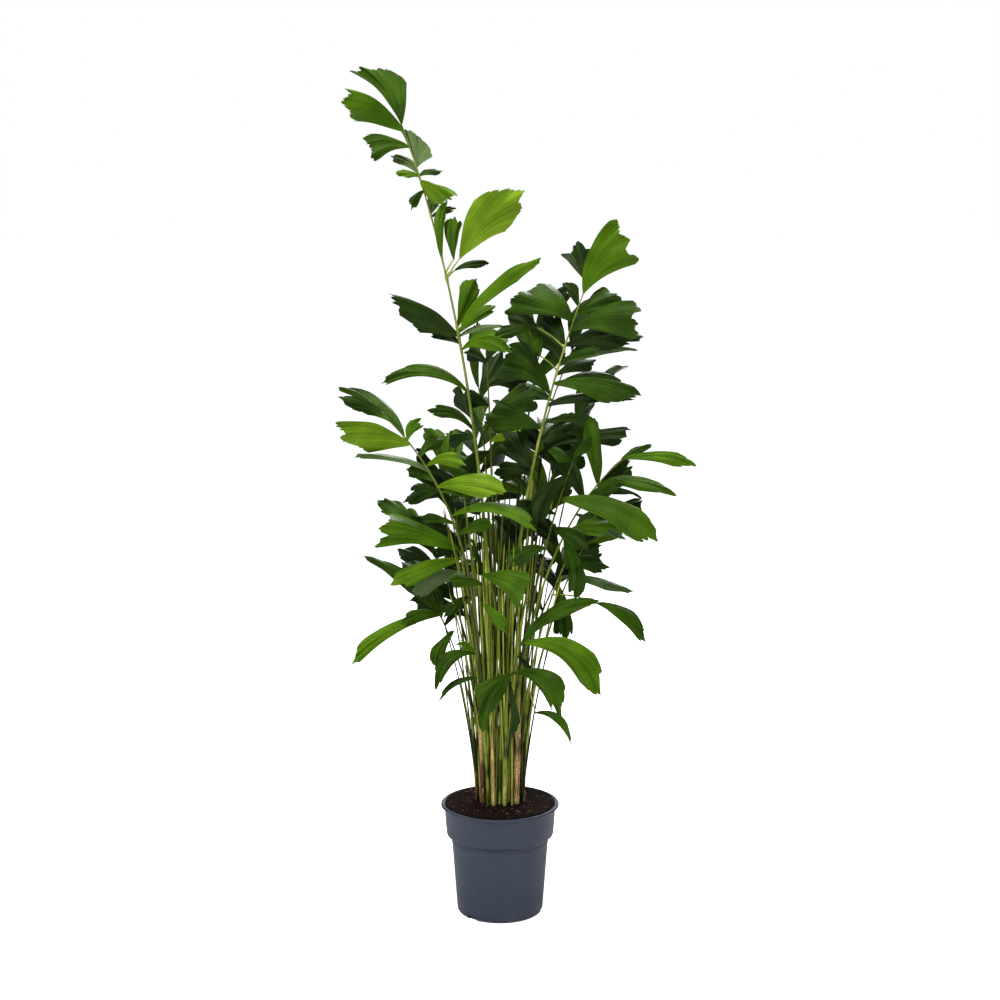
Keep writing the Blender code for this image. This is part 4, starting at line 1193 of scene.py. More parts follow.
@dataclass(frozen=True)
class SheathFinish(Finish):
    """A shoot's rolled sheaths: straw and brown at the soil with dark spots, green further up, streaked with
    dark green that is partly their own colour and partly painted shade between the rolled sheaths.
    """

    straw: tuple
    brown: tuple
    green_from: float  # the height in metres from which it turns green, and where it has
    green_to: float
    spots: float
    green: tuple = colour(126, 144, 40)
    dark_green_and_shade: tuple = colour(42, 58, 16)
    spot: tuple = colour(34, 22, 14)
    roughness: float = 0.55

    def dress(self, p: Palette, shader: Node) -> None:
        """Colour the sheaths by their height, uneven from shoot to shoot, streak them with dark green that is
        partly painted shade, and strew the spots.

        Args:
            p: Adds the nodes.
            shader: What they feed.
        """
        place = p.place()
        up = p.put("SeparateXYZ", Vector=place).outputs[2]
        veins, bands, height = p.veins(6.0, 0.6)
        blotch = p.mottle(place, 40.0, 0.35)
        edge = p.sums("ADD", up, p.sums("MULTIPLY", p.sums("SUBTRACT", blotch, 0.5), 0.09))
        edge = p.sums("SUBTRACT", edge, p.sums("MULTIPLY", p.tint(), 0.05))
        # The dark green streaks are partly the sheaths' own colour and partly painted shade between the
        # rolled sheaths.
        shade = p.blend(
            p.spread(edge, self.green_from, self.green_to),
            p.coats(self.straw, (bands, 0.45, 0.75, self.brown)),
            p.coats(self.green, (bands, 0.38, 0.62, self.dark_green_and_shade)),
        )
        shade = p.coats(shade, (veins, 0.5, 1.0, 0.0, 0.45, self.dark_green_and_shade))
        specks = p.spread(p.grain(place, 260.0), self.spots, self.spots + 0.05)
        specks = p.sums("MULTIPLY", specks, p.spread(up, 0.26, 0.48, 1.0, 0.25))
        shade = p.blend(p.sums("MULTIPLY", specks, 0.85), shade, self.spot)
        rough = p.spread(blotch, 0.0, 1.0, self.roughness - 0.1, self.roughness + 0.2)
        p.fill(shader, Base_Color=shade, Roughness=rough, Normal=p.bump(0.35, height),
               Specular_IOR_Level=0.15)


@dataclass(frozen=True)
class PlasticFinish(Finish):
    """The pot's moulded plastic: slate, satin, faintly mottled, dusty low down and streaked."""

    base: tuple = colour(33, 44, 63)
    light: tuple = colour(44, 56, 78)
    dust: tuple = colour(98, 96, 94)
    roughness: float = 0.48

    def dress(self, p: Palette, shader: Node) -> None:
        """Mottle and streak the plastic, and dust it.

        Args:
            p: Adds the nodes.
            shader: What they feed.
        """
        place = p.place()
        blotch = p.mottle(place, 16.0, 0.5)
        streak = p.grain(p.put("Mapping", Vector=place, Scale=(60.0, 60.0, 5.0)), 1.0)
        shade = p.blend(p.sums("MULTIPLY", blotch, 0.45), self.base, self.light)
        shade = p.coats(shade, (streak, 0.52, 0.75, 0.0, 0.18, self.light))
        low = p.spread(p.put("SeparateXYZ", Vector=place).outputs[2], 0.0, 0.035, 0.28, 0.0)
        grime = p.sums("MULTIPLY", p.spread(p.grain(place, 420.0), 0.62, 0.70), 0.35)
        shade = p.blend(p.sums("MAXIMUM", p.sums("MULTIPLY", low, blotch), grime), shade, self.dust)
        rough = p.spread(blotch, 0.0, 1.0, self.roughness - 0.05, self.roughness + 0.12)
        height = p.sums("ADD", p.sums("MULTIPLY", p.grain(place, 900.0), 0.4), streak)
        p.fill(shader, Base_Color=shade, Roughness=rough, Normal=p.bump(0.10, height, 0.0006))


@dataclass(frozen=True)
class EarthFinish(Finish):
    """Moist potting soil, bark chips or pale fibres: crumbly, dark, with paler grains."""

    base: tuple = colour(14, 6, 5)
    light: tuple = colour(32, 17, 13)
    grain: tuple = colour(96, 66, 46)
    grain_share: float = 0.70
    roughness: float = 0.9

    def dress(self, p: Palette, shader: Node) -> None:
        """Colour the crumbs and strew the paler grains.

        Args:
            p: Adds the nodes.
            shader: What they feed.
        """
        place = p.place()
        crumbs = p.put("TexVoronoi", Vector=place, Scale=340.0).outputs["Distance"]
        flecks = p.grain(place, 520.0, 1.0)
        shade = p.coats(
            p.blend(p.mottle(place, 70.0, 0.5), self.base, self.light),
            (crumbs, 0.1, 0.6, 0.5, 0.0, self.base),
            (flecks, self.grain_share, self.grain_share + 0.03, self.grain),
            (p.tint(), 0.0, 1.0, 0.0, 0.8, self.grain),
        )
        height = p.sums("ADD", crumbs, p.sums("MULTIPLY", flecks, 0.5))
        p.fill(shader, Base_Color=shade, Normal=p.bump(0.8, height, 0.002), Specular_IOR_Level=0.1)


@dataclass(frozen=True)
class PaperFinish(Finish):
    """The studio floor: pale, matt, with a trace of tooth, and white to the eye."""

    base: tuple = (0.80, 0.80, 0.80, 1.0)
    tooth: tuple = (0.83, 0.83, 0.83, 1.0)
    glow: float = 0.94
    roughness: float = 0.9

    def dress(self, p: Palette, shader: Node) -> None:
        """Give the paper its tooth and its glow.

        Args:
            p: Adds the nodes.
            shader: What they feed.
        """
        shade = p.coats(self.base, (p.grain(p.place(), 40.0), 0.3, 0.7, self.tooth))
        seen = p.put("LightPath").outputs["Is Camera Ray"]
        p.fill(shader, Base_Color=shade, Specular_IOR_Level=0.1, Emission_Color=WHITE,
               Emission_Strength=p.sums("MULTIPLY", seen, self.glow))


# Each tone's face is one leaf green in a lighter or darker copy: SUNLIT is painted light, DEEP and SHADE are
# painted shade, PALE is partly a painted grey sheen. Columns: tone, name, base, vein, dark, roughness, gloss,
# sunlit.
LEAF_FACES = {
    tone: LeafFinish(name, colour(*base), colour(*vein), colour(*dark), rough, gloss=gloss, sunlit=sunlit)
    for tone, name, base, vein, dark, rough, gloss, sunlit in (
        (SUNLIT, "leaf_sunlit", (86, 122, 10), (124, 154, 36), (58, 92, 6), 0.40, 0.09, 0.45),
        (FRESH, "leaf_fresh", (64, 100, 5), (94, 130, 20), (40, 72, 4), 0.38, 0.09, 0.45),
        (LEAF, "leaf_mid", (46, 76, 6), (72, 104, 18), (26, 50, 4), 0.36, 0.09, 0.45),
        (DEEP, "leaf_deep", (32, 54, 8), (62, 94, 18), (17, 33, 6), 0.34, 0.10, 0.55),
        (SHADE, "leaf_shade", (22, 38, 9), (44, 68, 18), (12, 23, 6), 0.34, 0.11, 0.50),
        (PALE, "leaf_pale", (74, 96, 52), (102, 122, 74), (48, 70, 34), 0.40, 0.16, 0.45),
    )
}
# The paler backs, in lighter and darker copies by tone that carry the same painted light and shade as the
# faces.
LEAF_BACKS = {
    tone: LeafFinish("back_" + tone.value, colour(*base), colour(*vein), colour(*dark), 0.5, relief=0.2)
    for tone, base, vein, dark in (
        (SUNLIT, (108, 134, 56), (132, 154, 80), (82, 110, 40)),
        (FRESH, (84, 110, 50), (108, 132, 72), (62, 88, 36)),
        (LEAF, (66, 92, 46), (90, 112, 66), (46, 70, 32)),
        (DEEP, (52, 72, 42), (72, 92, 58), (36, 54, 28)),
        (SHADE, (38, 56, 34), (56, 74, 48), (26, 40, 22)),
        (PALE, (76, 98, 62), (102, 122, 84), (54, 76, 44)),
    )
}


# ---------------- the plant


@dataclass
class LeafCutter:
    """Cuts one leaflet as a thin closed shell: pleats, ruffles, teeth, lobes and a drawn-out tail."""

    thickness: float = 0.0005
    foot_thickness: float = 0.0017
    tooth_pitch: float = 0.0095
    tooth_depth: float = 0.0042
    lobe_depth: float = 0.0125
    cleft_depth: float = 0.008
    corner_depth: float = 0.012
    pleat_pitch: float = 0.0085
    pleat_height: float = 0.0006
    ruffle_height: float = 0.095
    edge_sway: float = 0.10
    roundness: float = 1.9
    slim: float = 0.42
    slim_bluntness: float = 0.7
    fold_slope: float = 0.40
    twist: float = 0.34
    sickle: float = 0.05
    tail_length: float = 0.03
    tail_width: float = 0.04
    lobe_run: float = 0.022
    notch_run: float = 0.009
    cleft_reach: float = 0.08
    deepest: float = 0.24
    tooth: tuple = ((0.04, 0.1), (0.28, -0.12), (0.55, 0.02), (0.8, 0.45), (0.96, 0.95))
    roll: float = 0.026
    foot_run: float = 0.05
    row_length: float = 0.0085
    fewest_rows: int = 9

    def margin(self, leaf: Leaf, rng: random.Random) -> tuple[Array, Array]:
        """The jagged edge: where its columns stand, and how far each one is cut back.

        Args:
            leaf: The leaflet.
            rng: Its draws.

        Returns:
            Places across the blade from 0 to 1, and for each a part of its length, mostly below 0.
        """
        length, width = Vector(leaf.reach).length * CM, leaf.width * CM
        tail = (1 - leaf.spread) / 2
        edge = math.hypot(width, (1 - leaf.shoulder) * length)
        teeth = max(5, round(edge / self.tooth_pitch))
        bounds = np.cumsum([0.0] + [rng.uniform(0.4, 1.8) for _ in range(teeth)])
        bounds /= bounds[-1]
        places, cuts = [], []
        phase, phase_wide = rng.uniform(0, 50), rng.uniform(0, 50)
        clefts = [(rng.uniform(0.2, 0.8), rng.uniform(0.4, 1.0)) for _ in range(int(leaf.width > 5.0))]
        if width < self.slim * length:
            clefts.append((tail + rng.choice((-1, 1)) * rng.uniform(0.18, 0.32), rng.uniform(0.7, 1.5)))
        ends = [end for end in (0.0, 1.0) if abs(end - tail) > 0.1]
        corners = [(end, rng.uniform(0.2, 1.0), rng.uniform(0.05, 0.14)) for end in ends]

        def lobes(u: float) -> float:
            """How deep the larger lobes cut.

            Args:
                u: The place across the blade.

            Returns:
                The depth as a part of the length.
            """
            wide = 0.42 + 1.1 * noise.noise(Vector((u * edge / self.lobe_run + phase, phase_wide, 0.0)))
            wide += 0.35 * noise.noise(Vector((u * edge / self.notch_run + phase_wide, phase, 0.0)))
            deep = self.lobe_depth * min(max(wide, 0.0), 1.0)
            for at, share in clefts:
                deep += self.cleft_depth * share * max(0.0, 1 - abs(u - at) / self.cleft_reach)
            deep *= min(1.0, abs(u - tail) / 0.15)
            for end, share, reach in corners:
                deep += self.corner_depth * share * max(0.0, 1 - abs(u - end) / reach) ** 2
            return min(deep / length, self.deepest)

        for a, b in zip(bounds, bounds[1:]):
            depth = self.tooth_depth * rng.uniform(0.15, 1.6) / length
            tip, valley = (a, b) if (a + b) / 2 > tail else (b, a)
            run = valley - tip
            for share, part in self.tooth:
                at = min(max(tip + run * share, 0.0), 1.0)
                places.append(at)
                cuts.append(-lobes(at) - depth * part)
        order = np.argsort(places)
        u = np.concatenate(([0.0], np.array(places)[order], [1.0]))
        cut = np.array(cuts)[order]
        cut = np.concatenate(([cut[0] * 0.5], cut, [cut[-1] * 0.5]))
        drawn = self.tail_length * np.exp(-np.abs(u - tail) / self.tail_width)
        return u, cut + drawn

    def cut(self, grown: GrownLeaf, rng: random.Random) -> tuple[Array, Array, Array, Array]:
        """The shell of a leaflet.

        Args:
            grown: The leaflet and its place.
            rng: Its draws.

        Returns:
            Its vertices, its quads, a place on the pattern for each vertex, and each quad's slot: 0 above and
            at the rim, 1 below.
        """
        leaf = grown.leaf
        reach, rise, face, side = (np.array(v) for v in blade_frame(leaf, grown.aside))
        length = float(np.linalg.norm(reach))
        width, tail = leaf.width * CM, (1 - leaf.spread) / 2
        across, cuts = self.margin(leaf, rng)
        rows = max(self.fewest_rows, round(length / self.row_length))
        steps = np.linspace(0.0, 1.0, rows + 1)
        u, step = np.meshgrid(across, steps, indexing="ij")
        far = step * (1 + cuts[:, None] * step**2)
        off = np.abs(u - tail) / max(tail, 1 - tail)
        blunt = self.roundness + self.slim_bluntness * (width < self.slim * length)
        s = (1 - (1 - leaf.shoulder) * off**blunt) * far
        c = width * (u - tail) * far**leaf.wedge + (2 * u - 1) * STALK_RADIUS * 0.75 * (1 - step)
        arch = 4 * leaf.arch * length * s * (1 - s)
        pleats = max(2.0, width / self.pleat_pitch)
        lift = self.pleat_height * np.minimum(1.0, 1.6 * far) * np.sin(math.tau * (u * pleats + rng.random()))
        waves, phase, sway = rng.uniform(1.4, 3.0), rng.random(), rng.random()
        lift += self.ruffle_height * width * far**2.2 * np.sin(math.tau * (u * waves + phase))
        sway = np.sin(math.tau * (s * rng.uniform(0.8, 1.3) + sway))
        lift += self.roll * length * far * (1 - 0.4 * far) * sway
        lift += self.fold_slope * np.abs(c - (c[:1] + c[-1:]) / 2) * np.maximum(1 - far, 0.0) ** 1.5
        lift += rng.uniform(-self.twist, self.twist) * c * far
        lift -= CUP * c * c / width
        c += rng.uniform(-self.sickle, self.sickle) * length * 4 * s * (1 - s)
        for edge in (0.0, 1.0):
            bend = np.sin(math.tau * (s * rng.uniform(0.9, 1.7) + rng.random()))
            c += self.edge_sway * width * bend * far * (1 - far) * np.maximum(1 - 2 * np.abs(u - edge), 0.0)
        middle = (
            np.array(grown.foot) + (step - 1)[..., None] * reach / length * SUNK + s[..., None] * reach
            + arch[..., None] * rise + c[..., None] * side + lift[..., None] * face
        )
        du, ds = np.gradient(middle, axis=0), np.gradient(middle, axis=1)
        normal = np.cross(ds, du)
        normal /= np.maximum(np.linalg.norm(normal, axis=2, keepdims=True), 1e-12)
        way = -1 if float((normal @ face).sum()) < 0 else 1
        normal *= way
        half = (self.thickness + (self.foot_thickness - self.thickness) * np.exp(-step / self.foot_run)) / 2
        lift = normal * half[..., None]
        points = np.concatenate([(middle + lift).reshape(-1, 3), (middle - lift).reshape(-1, 3)])
        index = np.arange(u.size).reshape(u.shape)
        top = [index[:-1, :-1], index[:-1, 1:], index[1:, 1:], index[1:, :-1]]
        top = np.stack(top, axis=-1).reshape(-1, 4)[:, ::way]
        under = top[:, ::-1] + u.size
        loop = np.concatenate([index[:, 0], index[-1, 1:], index[-2::-1, -1], index[0, -2:0:-1]])
        after = np.roll(loop, -1)
        rim = np.stack([loop, after, after + u.size, loop + u.size], axis=-1)[:, ::way]
        quads = np.concatenate([top, under, rim])
        slots = np.concatenate([np.zeros(len(top)), np.ones(len(under)), np.zeros(len(rim))])
        start = rng.uniform(0, 90)
        uv = np.stack([u * leaf.width + start, s * length / CM], axis=-1).reshape(-1, 2)
        return points, quads, np.concatenate([uv, uv]), slots


def limb_skin(path: Array, radii: Array, sides: int, rng: random.Random) -> tuple[Array, Array, Array]:
    """A limb's closed skin: rings along a path, turned by chance and capped at both ends.

    Args:
        path: The path.
        radii: The radius at each of its points.
        sides: How many sides it has, an even number.
        rng: Its draws.

    Returns:
        Its vertices, its quads, and a place on the pattern for each vertex.
    """
    tangent = np.gradient(path, axis=0)
    tangent /= np.linalg.norm(tangent, axis=1, keepdims=True)
    first = np.cross(tangent, np.array(FRONT))
    first /= np.linalg.norm(first, axis=1, keepdims=True)
    second = np.cross(tangent, first)
    angles = (rng.uniform(0, 1) + math.tau * np.arange(sides) / sides)[None, :, None]
    circle = first[:, None] * np.cos(angles) + second[:, None] * np.sin(angles)
    skin = path[:, None] + circle * radii[:, None, None]
    rings = len(path)
    index = np.arange(rings * sides).reshape(rings, sides)
    nearby = np.roll(index, -1, axis=1)
    quads = [np.stack([index[:-1], nearby[:-1], nearby[1:], index[1:]], axis=-1).reshape(-1, 4)]
    for end, way in ((index[0], -1), (index[-1], 1)):
        caps = [(end[k - 1], end[k], end[-1 - k], end[-k]) for k in range(1, sides // 2)]
        quads.append(np.array(caps)[:, ::way])
    gone = np.concatenate([[0.0], np.cumsum(np.linalg.norm(np.diff(path, axis=0), axis=1))])
    around = np.abs(np.arange(sides) - sides / 2) * (math.tau * radii.mean() / sides)
    uv = np.stack(np.broadcast_arrays(around, gone[:, None]), axis=-1).reshape(-1, 2) / CM
    return skin.reshape(-1, 3), np.concatenate(quads), uv + np.array([rng.uniform(0, 90), 0.0])


@dataclass
class Limbs:
    """The petioles, rachises and side branches, joined: slender, a little swollen where leaflets stand."""

    layout: Layout
    sides: int = 10
    ring_step: float = 0.006
    end_radius: float = 0.0011
    swelling: float = 0.22
    swelling_length: float = 0.006
    sunk: float = 0.012
    finish: StalkFinish = StalkFinish("petiole_green")

    def add_limb(self, sheaf: Sheaf, frond: Frond, rng: random.Random) -> None:
        """Gather a frond's petiole and rachis.

        Args:
            sheaf: What gathers it.
            frond: The frond.
            rng: Its draws.
        """
        foot, via, tip = self.layout.limb(frond)
        rings = max(12, round((tip - foot).length / self.ring_step))
        t = np.linspace(0.0, 1.0, rings + 1)
        path = np.array([limb_point(foot, via, tip, x) for x in t])
        path = np.concatenate([path[:1] - self.sunk * np.array(UP), path])
        girth = frond.girth * CM
        radii = girth + (self.end_radius - girth) * np.concatenate([[0.0], t]) ** TAPER
        for leaf in frond.leaves:
            at = np.array(limb_point(foot, via, tip, self.layout.height_along(frond, leaf.height)))
            away = np.linalg.norm(path - at, axis=1)
            radii = radii * (1 + self.swelling * np.exp(-((away / self.swelling_length) ** 2)))
        radii[0] *= 0.6
        radii[-1] *= 0.45
        # Fronds whose tips lie toward the back are made darker: painted shade at the back of the crown.
        tint = rng.uniform(-0.9, 0.3) - (0.25 if path[-1][1] > 0.06 else 0.0)
        sheaf.add(*limb_skin(path, radii, self.sides, rng), tint)

    def build(self, fronds: list[Frond]) -> None:
        """Model all the limbs as one piece and dress it.

        Args:
            fronds: The fronds.
        """
        sheaf, rng = Sheaf(), random.Random(11)
        for frond in fronds:
            self.add_limb(sheaf, frond, rng)
            for start, stalk in self.layout.branches(frond):
                t = np.linspace(-0.02, 1.03, 14)
                sag = np.outer(np.sin(math.pi * np.clip(t, 0, 1)), (0.0, 0.0, 0.06 * stalk.length))
                path = np.array(start) + np.outer(t, np.array(stalk)) + sag
                radii = np.linspace(1.2, 0.75, 14) * STALK_RADIUS
                sheaf.add(*limb_skin(path, radii, self.sides, rng), 0.0)
        piece = sheaf.mesh("petioles_and_rachises", 70.0)
        piece.data.materials.append(self.finish.make())
        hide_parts(*[frond.name for frond in fronds])
        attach(piece, "root")
        LOG.info("%s: %d faces", piece.name, len(piece.data.polygons))


@dataclass
class Foliage:
    """All the leaflets, joined by their tone."""

    cutter: LeafCutter = field(default_factory=LeafCutter)
    # The back fronds' leaflets are dealt mostly the darker tones: painted shade at the back of the crown.
    habit_shade_tones: tuple = (DEEP, SHADE, SHADE, DEEP, LEAF, SHADE)

    def build(self, grown: list[GrownLeaf]) -> None:
        """Cut the leaflets, join them by tone and dress each piece.

        Args:
            grown: The leaflets that found room.
        """
        habit = {frond.name for frond in BACK_FRONDS}
        sheaves: dict[Tone, Sheaf] = {tone: Sheaf() for tone in Tone}
        named: dict[Tone, set] = {tone: set() for tone in Tone}
        for number, one in enumerate(grown):
            rng = random.Random(1000 + number)
            tone = rng.choice(self.habit_shade_tones) if one.frond in habit else one.leaf.tone
            points, quads, uv, slots = self.cutter.cut(one, rng)
            sheaves[tone].add(points, quads, uv, rng.uniform(-0.8, 0.8), slots)
            named[tone].add(one.frond)
        for tone, sheaf in sheaves.items():
            piece = sheaf.mesh("leaflets_" + tone.value)
            piece.data.materials.append(LEAF_FACES[tone].make())
            piece.data.materials.append(LEAF_BACKS[tone].make())
            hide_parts(*sorted(named[tone]))
            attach(piece, "root")
            LOG.info("%s: %d faces on %d fronds", piece.name, len(piece.data.polygons), len(named[tone]))


SHEATH_COATS = {
    coat: SheathFinish("sheath_" + coat.value, colour(*straw), colour(*brown), low, high, spots)
    for coat, straw, brown, low, high, spots in (
        (GREEN, (206, 184, 116), (84, 58, 34), 0.235, 0.30, 0.62),
        (STRAW, (222, 198, 122), (150, 118, 62), 0.34, 0.50, 0.62),
        (SPOTTED, (196, 164, 108), (92, 60, 36), 0.31, 0.42, 0.56),
        (BROWN, (110, 84, 46), (46, 32, 20), 0.27, 0.40, 0.58),
    )
}


@dataclass
class Sheaths:
    """The shoots: rolled sheaths that end one above the other in slanting lips, flared at the soil."""

    sides: int = 14
    station_step: float = 0.022
    belly_share: float = 0.4
    lip_rise: float = 0.0009
    lip_height: float = 0.0016
    lip_slant: float = 0.30
    lip_room: float = 0.010
    dome: tuple = ((0.72, 0.004), (0.5, 0.002))

    def path(self, shoot: Shoot, share: float) -> Vector:
        """A point along a shoot's middle.

        Args:
            shoot: The shoot.
            share: How far up it is, from 0 to 1.

        Returns:
            The point.
        """
        foot, belly, top = shoot_path(shoot)
        bend = belly - foot.lerp(top, self.belly_share)
        return foot.lerp(top, share) + bend * float(np.interp(share, (0, self.belly_share, 1), (0, 1, 0)))

    def stations(self, shoot: Shoot, rng: random.Random) -> list[tuple[Vector, float, float]]:
        """The rings that a shoot is drawn up through.

        Args:
            shoot: The shoot.
            rng: Its draws.

        Returns:
            The centre, the radius and the slant of each ring, from the soil up.
        """
        foot, _, top = shoot_path(shoot)
        height, girth = top.z - foot.z, shoot.girth * CM
        lips = sorted(rng.uniform(0.15, 0.92) for _ in range(rng.choice((2, 3, 3))))
        plain = round(height / self.station_step)
        marks = [(k / plain, 0.0, 0.0) for k in range(plain + 1)]
        for lip in lips:
            slant = rng.choice((-1, 1)) * self.lip_slant * rng.uniform(0.4, 1.0)
            marks = [m for m in marks if abs(m[0] - lip) * height > self.lip_room or m[0] in (0.0, 1.0)]
            marks += [(lip - 0.004 / height, self.lip_rise * 0.7, slant), (lip, self.lip_rise, slant),
                      (lip + self.lip_height / height, 0.0, slant)]
        rings = []
        heights = (0, FLARE_HEIGHT, self.belly_share * height, height)
        for share, rise, slant in sorted(marks):
            share = min(max(share, 0.0), 1.0)
            swell = float(np.interp(share * height, heights, SWELL))
            rings.append((self.path(shoot, share), girth * swell + rise, slant))
        return rings

    def model(self, name: str, shoot: Shoot) -> Piece:
        """Draw one shoot up from its flat cut, ring by ring, and round it.

        Args:
            name: Its name.
            shoot: The shoot.

        Returns:
            The piece, undressed.
        """
        rng = random.Random("sheath " + name)
        rings = self.stations(shoot, rng)
        centre, radius, slant = rings[0]
        piece = ring("sheaths_" + name, radius, centre.z, self.sides, (centre.x, centre.y))
        bpy.ops.mesh.edge_face_add()
        bpy.ops.mesh.select_mode(type="EDGE")
        end, last, _ = rings[-1]
        for share, lift in self.dome:
            end = end + UP * lift
            last *= share
            rings.append((end, last, 0.0))
        for after, wide, lean in rings[1:]:
            draw_up(centre, after - centre, wide / radius)
            if abs(lean - slant) > 1e-6:
                bpy.ops.transform.rotate(value=lean - slant, orient_axis="Y", center_override=tuple(after))
            centre, radius, slant = after, wide, lean
        bpy.ops.mesh.edge_face_add()
        bpy.ops.mesh.select_all(action="SELECT")
        bpy.ops.mesh.normals_make_consistent(inside=False)
        bpy.ops.object.mode_set(mode="OBJECT")
        smooth = piece.modifiers.new("round", "SUBSURF")
        smooth.levels = smooth.render_levels = 1
        bpy.ops.object.modifier_apply(modifier=smooth.name)
        bpy.ops.object.shade_smooth_by_angle(angle=math.radians(50))
        self.mark(piece, shoot, rng)
        return piece

    def mark(self, piece: Piece, shoot: Shoot, rng: random.Random) -> None:
        """Lay the pattern round a shoot, in centimetres, and note its tint.

        Args:
            piece: The shoot's piece.
            shoot: The shoot.
            rng: Its draws.
        """
        mesh, start = piece.data, rng.uniform(0, 90)
        foot, _, top = shoot_path(shoot)
        places = []
        for vertex in mesh.vertices:
            middle = self.path(shoot, min(max((vertex.co.z - foot.z) / (top.z - foot.z), 0.0), 1.0))
            angle = math.atan2(vertex.co.x - middle.x, middle.y - vertex.co.y)
            places.append((start + abs(angle) * shoot.girth, vertex.co.z / CM))
        pattern = mesh.uv_layers[0]
        pattern.name = "pattern"
        for loop in mesh.loops:
            pattern.data[loop.index].uv = places[loop.vertex_index]
        tint = mesh.attributes.new("tint", "FLOAT", "POINT")
        tint.data.foreach_set("value", [rng.uniform(-1, 1)] * len(mesh.vertices))

    def build(self) -> None:
        """Model and dress every shoot."""
        materials = {coat: finish.make() for coat, finish in SHEATH_COATS.items()}
        for name, shoot in SHOOTS.items():
            piece = self.model(name, shoot)
            piece.data.materials.append(materials[shoot.coat])
            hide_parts("shoot_" + name)
            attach(piece, "root")
            LOG.info("%s: %d faces", piece.name, len(piece.data.polygons))


class Room:
    """What a spare petiole stays clear of: points along each limb that stands already, with its radius."""

    def __init__(self, layout: Layout, fronds: list[Frond]) -> None:
        """Note each shoot and each frond's petiole.

        Args:
            layout: Where the fronds stand.
            fronds: The fronds.
        """
        self.points: list[tuple[Vector, float, int]] = []
        self.limbs, self.widest = 0, 0.0
        self.tree: KDTree | None = None
        for shoot in SHOOTS.values():
            path = [Sheaths().path(shoot, share) for share in np.linspace(0, 1, 40)]
            self.take(path, shoot.girth * CM * np.linspace(FLARE * 1.1, 1.0, 40))
        for frond in fronds:
            foot, via, tip = layout.limb(frond)
            self.take([limb_point(foot, via, tip, t) for t in np.linspace(0, 1, 60)], [frond.girth * CM] * 60)

    def take(self, path: list | Array, radii: list | Array) -> None:
        """Note a limb.

        Args:
            path: Its path.
            radii: Its radii.
        """
        self.points += [(Vector(point), float(radius), self.limbs) for point, radius in zip(path, radii)]
        self.limbs += 1
        self.widest = max(self.widest, max(radii))
        self.tree = None

    def fits(self, path: list | Array, radii: list | Array, gap: float, own: int) -> bool:
        """Whether a limb stays clear of the others.

        Args:
            path: Its path.
            radii: Its radii.
            gap: The least gap.
            own: The number of the shoot it springs from, or -1.

        Returns:
            True where it does.
        """
        if self.tree is None:
            self.tree = KDTree(len(self.points))
            for number, (point, _, _) in enumerate(self.points):
                self.tree.insert(point, number)
            self.tree.balance()
        for point, radius in zip(path, radii):
            for _, number, away in self.tree.find_range(point, float(radius) + self.widest + gap):
                _, wide, limb = self.points[number]
                if limb != own and away < radius + wide + gap:
                    return False
        return True


@dataclass
class SparePetioles:
    """Slim petioles whose blades never filled out, or died: they crowd the clump between the shoots."""

    name: str
    finish: StalkFinish
    count: int
    seed: int
    heights: tuple
    foot_radius: tuple
    end_radius: float
    depths: tuple = (-3.6, 3.4)
    half_width: float = 4.7
    half_depth: float = 4.2
    foot_sunk: float = 0.8
    tints: tuple = (-0.9, 0.4)
    tries: int = 900
    fanning: float = 0.018
    wander: float = 1.3
    bow: float = 0.9
    knee: tuple = (0.9, 0.05, 0.5)  # where it swells, over what run and by how much
    springs: tuple | None = None
    clearance: float = 0.0003
    rings: int = 34
    sides: int = 8

    def grow(self, shoot: str, rng: random.Random) -> tuple[Array, Array]:
        """One petiole, fanning out from the clump's foot or springing from a shoot's sheaths.

        Args:
            shoot: The shoot it springs from, where it does.
            rng: Its draws.

        Returns:
            The path and the radii.
        """
        depth = rng.uniform(*self.depths)
        side = rng.uniform(-1, 1) * self.half_width * math.sqrt(max(0.0, 1 - (depth / self.half_depth) ** 2))
        height = rng.uniform(*self.heights)
        foot = Vector((side, depth, SOIL_TOP / CM - self.foot_sunk))
        if self.springs:
            foot = Sheaths().path(SHOOTS[shoot], rng.uniform(*self.springs)) / CM
        open_up = 1 + self.fanning * (height - foot.z)
        top = Vector((foot.x * open_up + rng.uniform(-1, 1) * self.wander, foot.y * open_up, height))
        via = foot.lerp(top, 0.5)
        via.x, via.y = via.x * self.bow, via.y * self.bow
        steps = np.linspace(0.0, 1.0, self.rings)
        path = np.array([limb_point(foot, via, top, t) for t in steps]) * CM
        radii = np.linspace(rng.uniform(*self.foot_radius), self.end_radius, self.rings)
        at, run, swelling = self.knee
        radii *= 1 + swelling * np.exp(-(((steps - at) / run) ** 2))
        radii[-1] *= 0.2
        return path, radii

    def build(self, room: Room) -> None:
        """Model the petioles that find room, as one piece, and dress it.

        Args:
            room: What they stay clear of; each petiole that fits is noted there too.
        """
        sheaf, rng, grown = Sheaf(), random.Random(self.seed), 0
        shoots = list(SHOOTS)
        for _ in range(self.tries):
            shoot = rng.choice(shoots)
            path, radii = self.grow(shoot, rng)
            if not room.fits(path, radii, self.clearance, shoots.index(shoot) if self.springs else -1):
                continue
            room.take(path, radii)
            sheaf.add(*limb_skin(path, radii, self.sides, rng), rng.uniform(*self.tints))
            grown += 1
            if grown == self.count:
                break
        piece = sheaf.mesh("spare_petioles_" + self.name, 70.0)
        piece.data.materials.append(self.finish.make())
        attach(piece, "root")
        LOG.info("%s: %d of them", piece.name, grown)
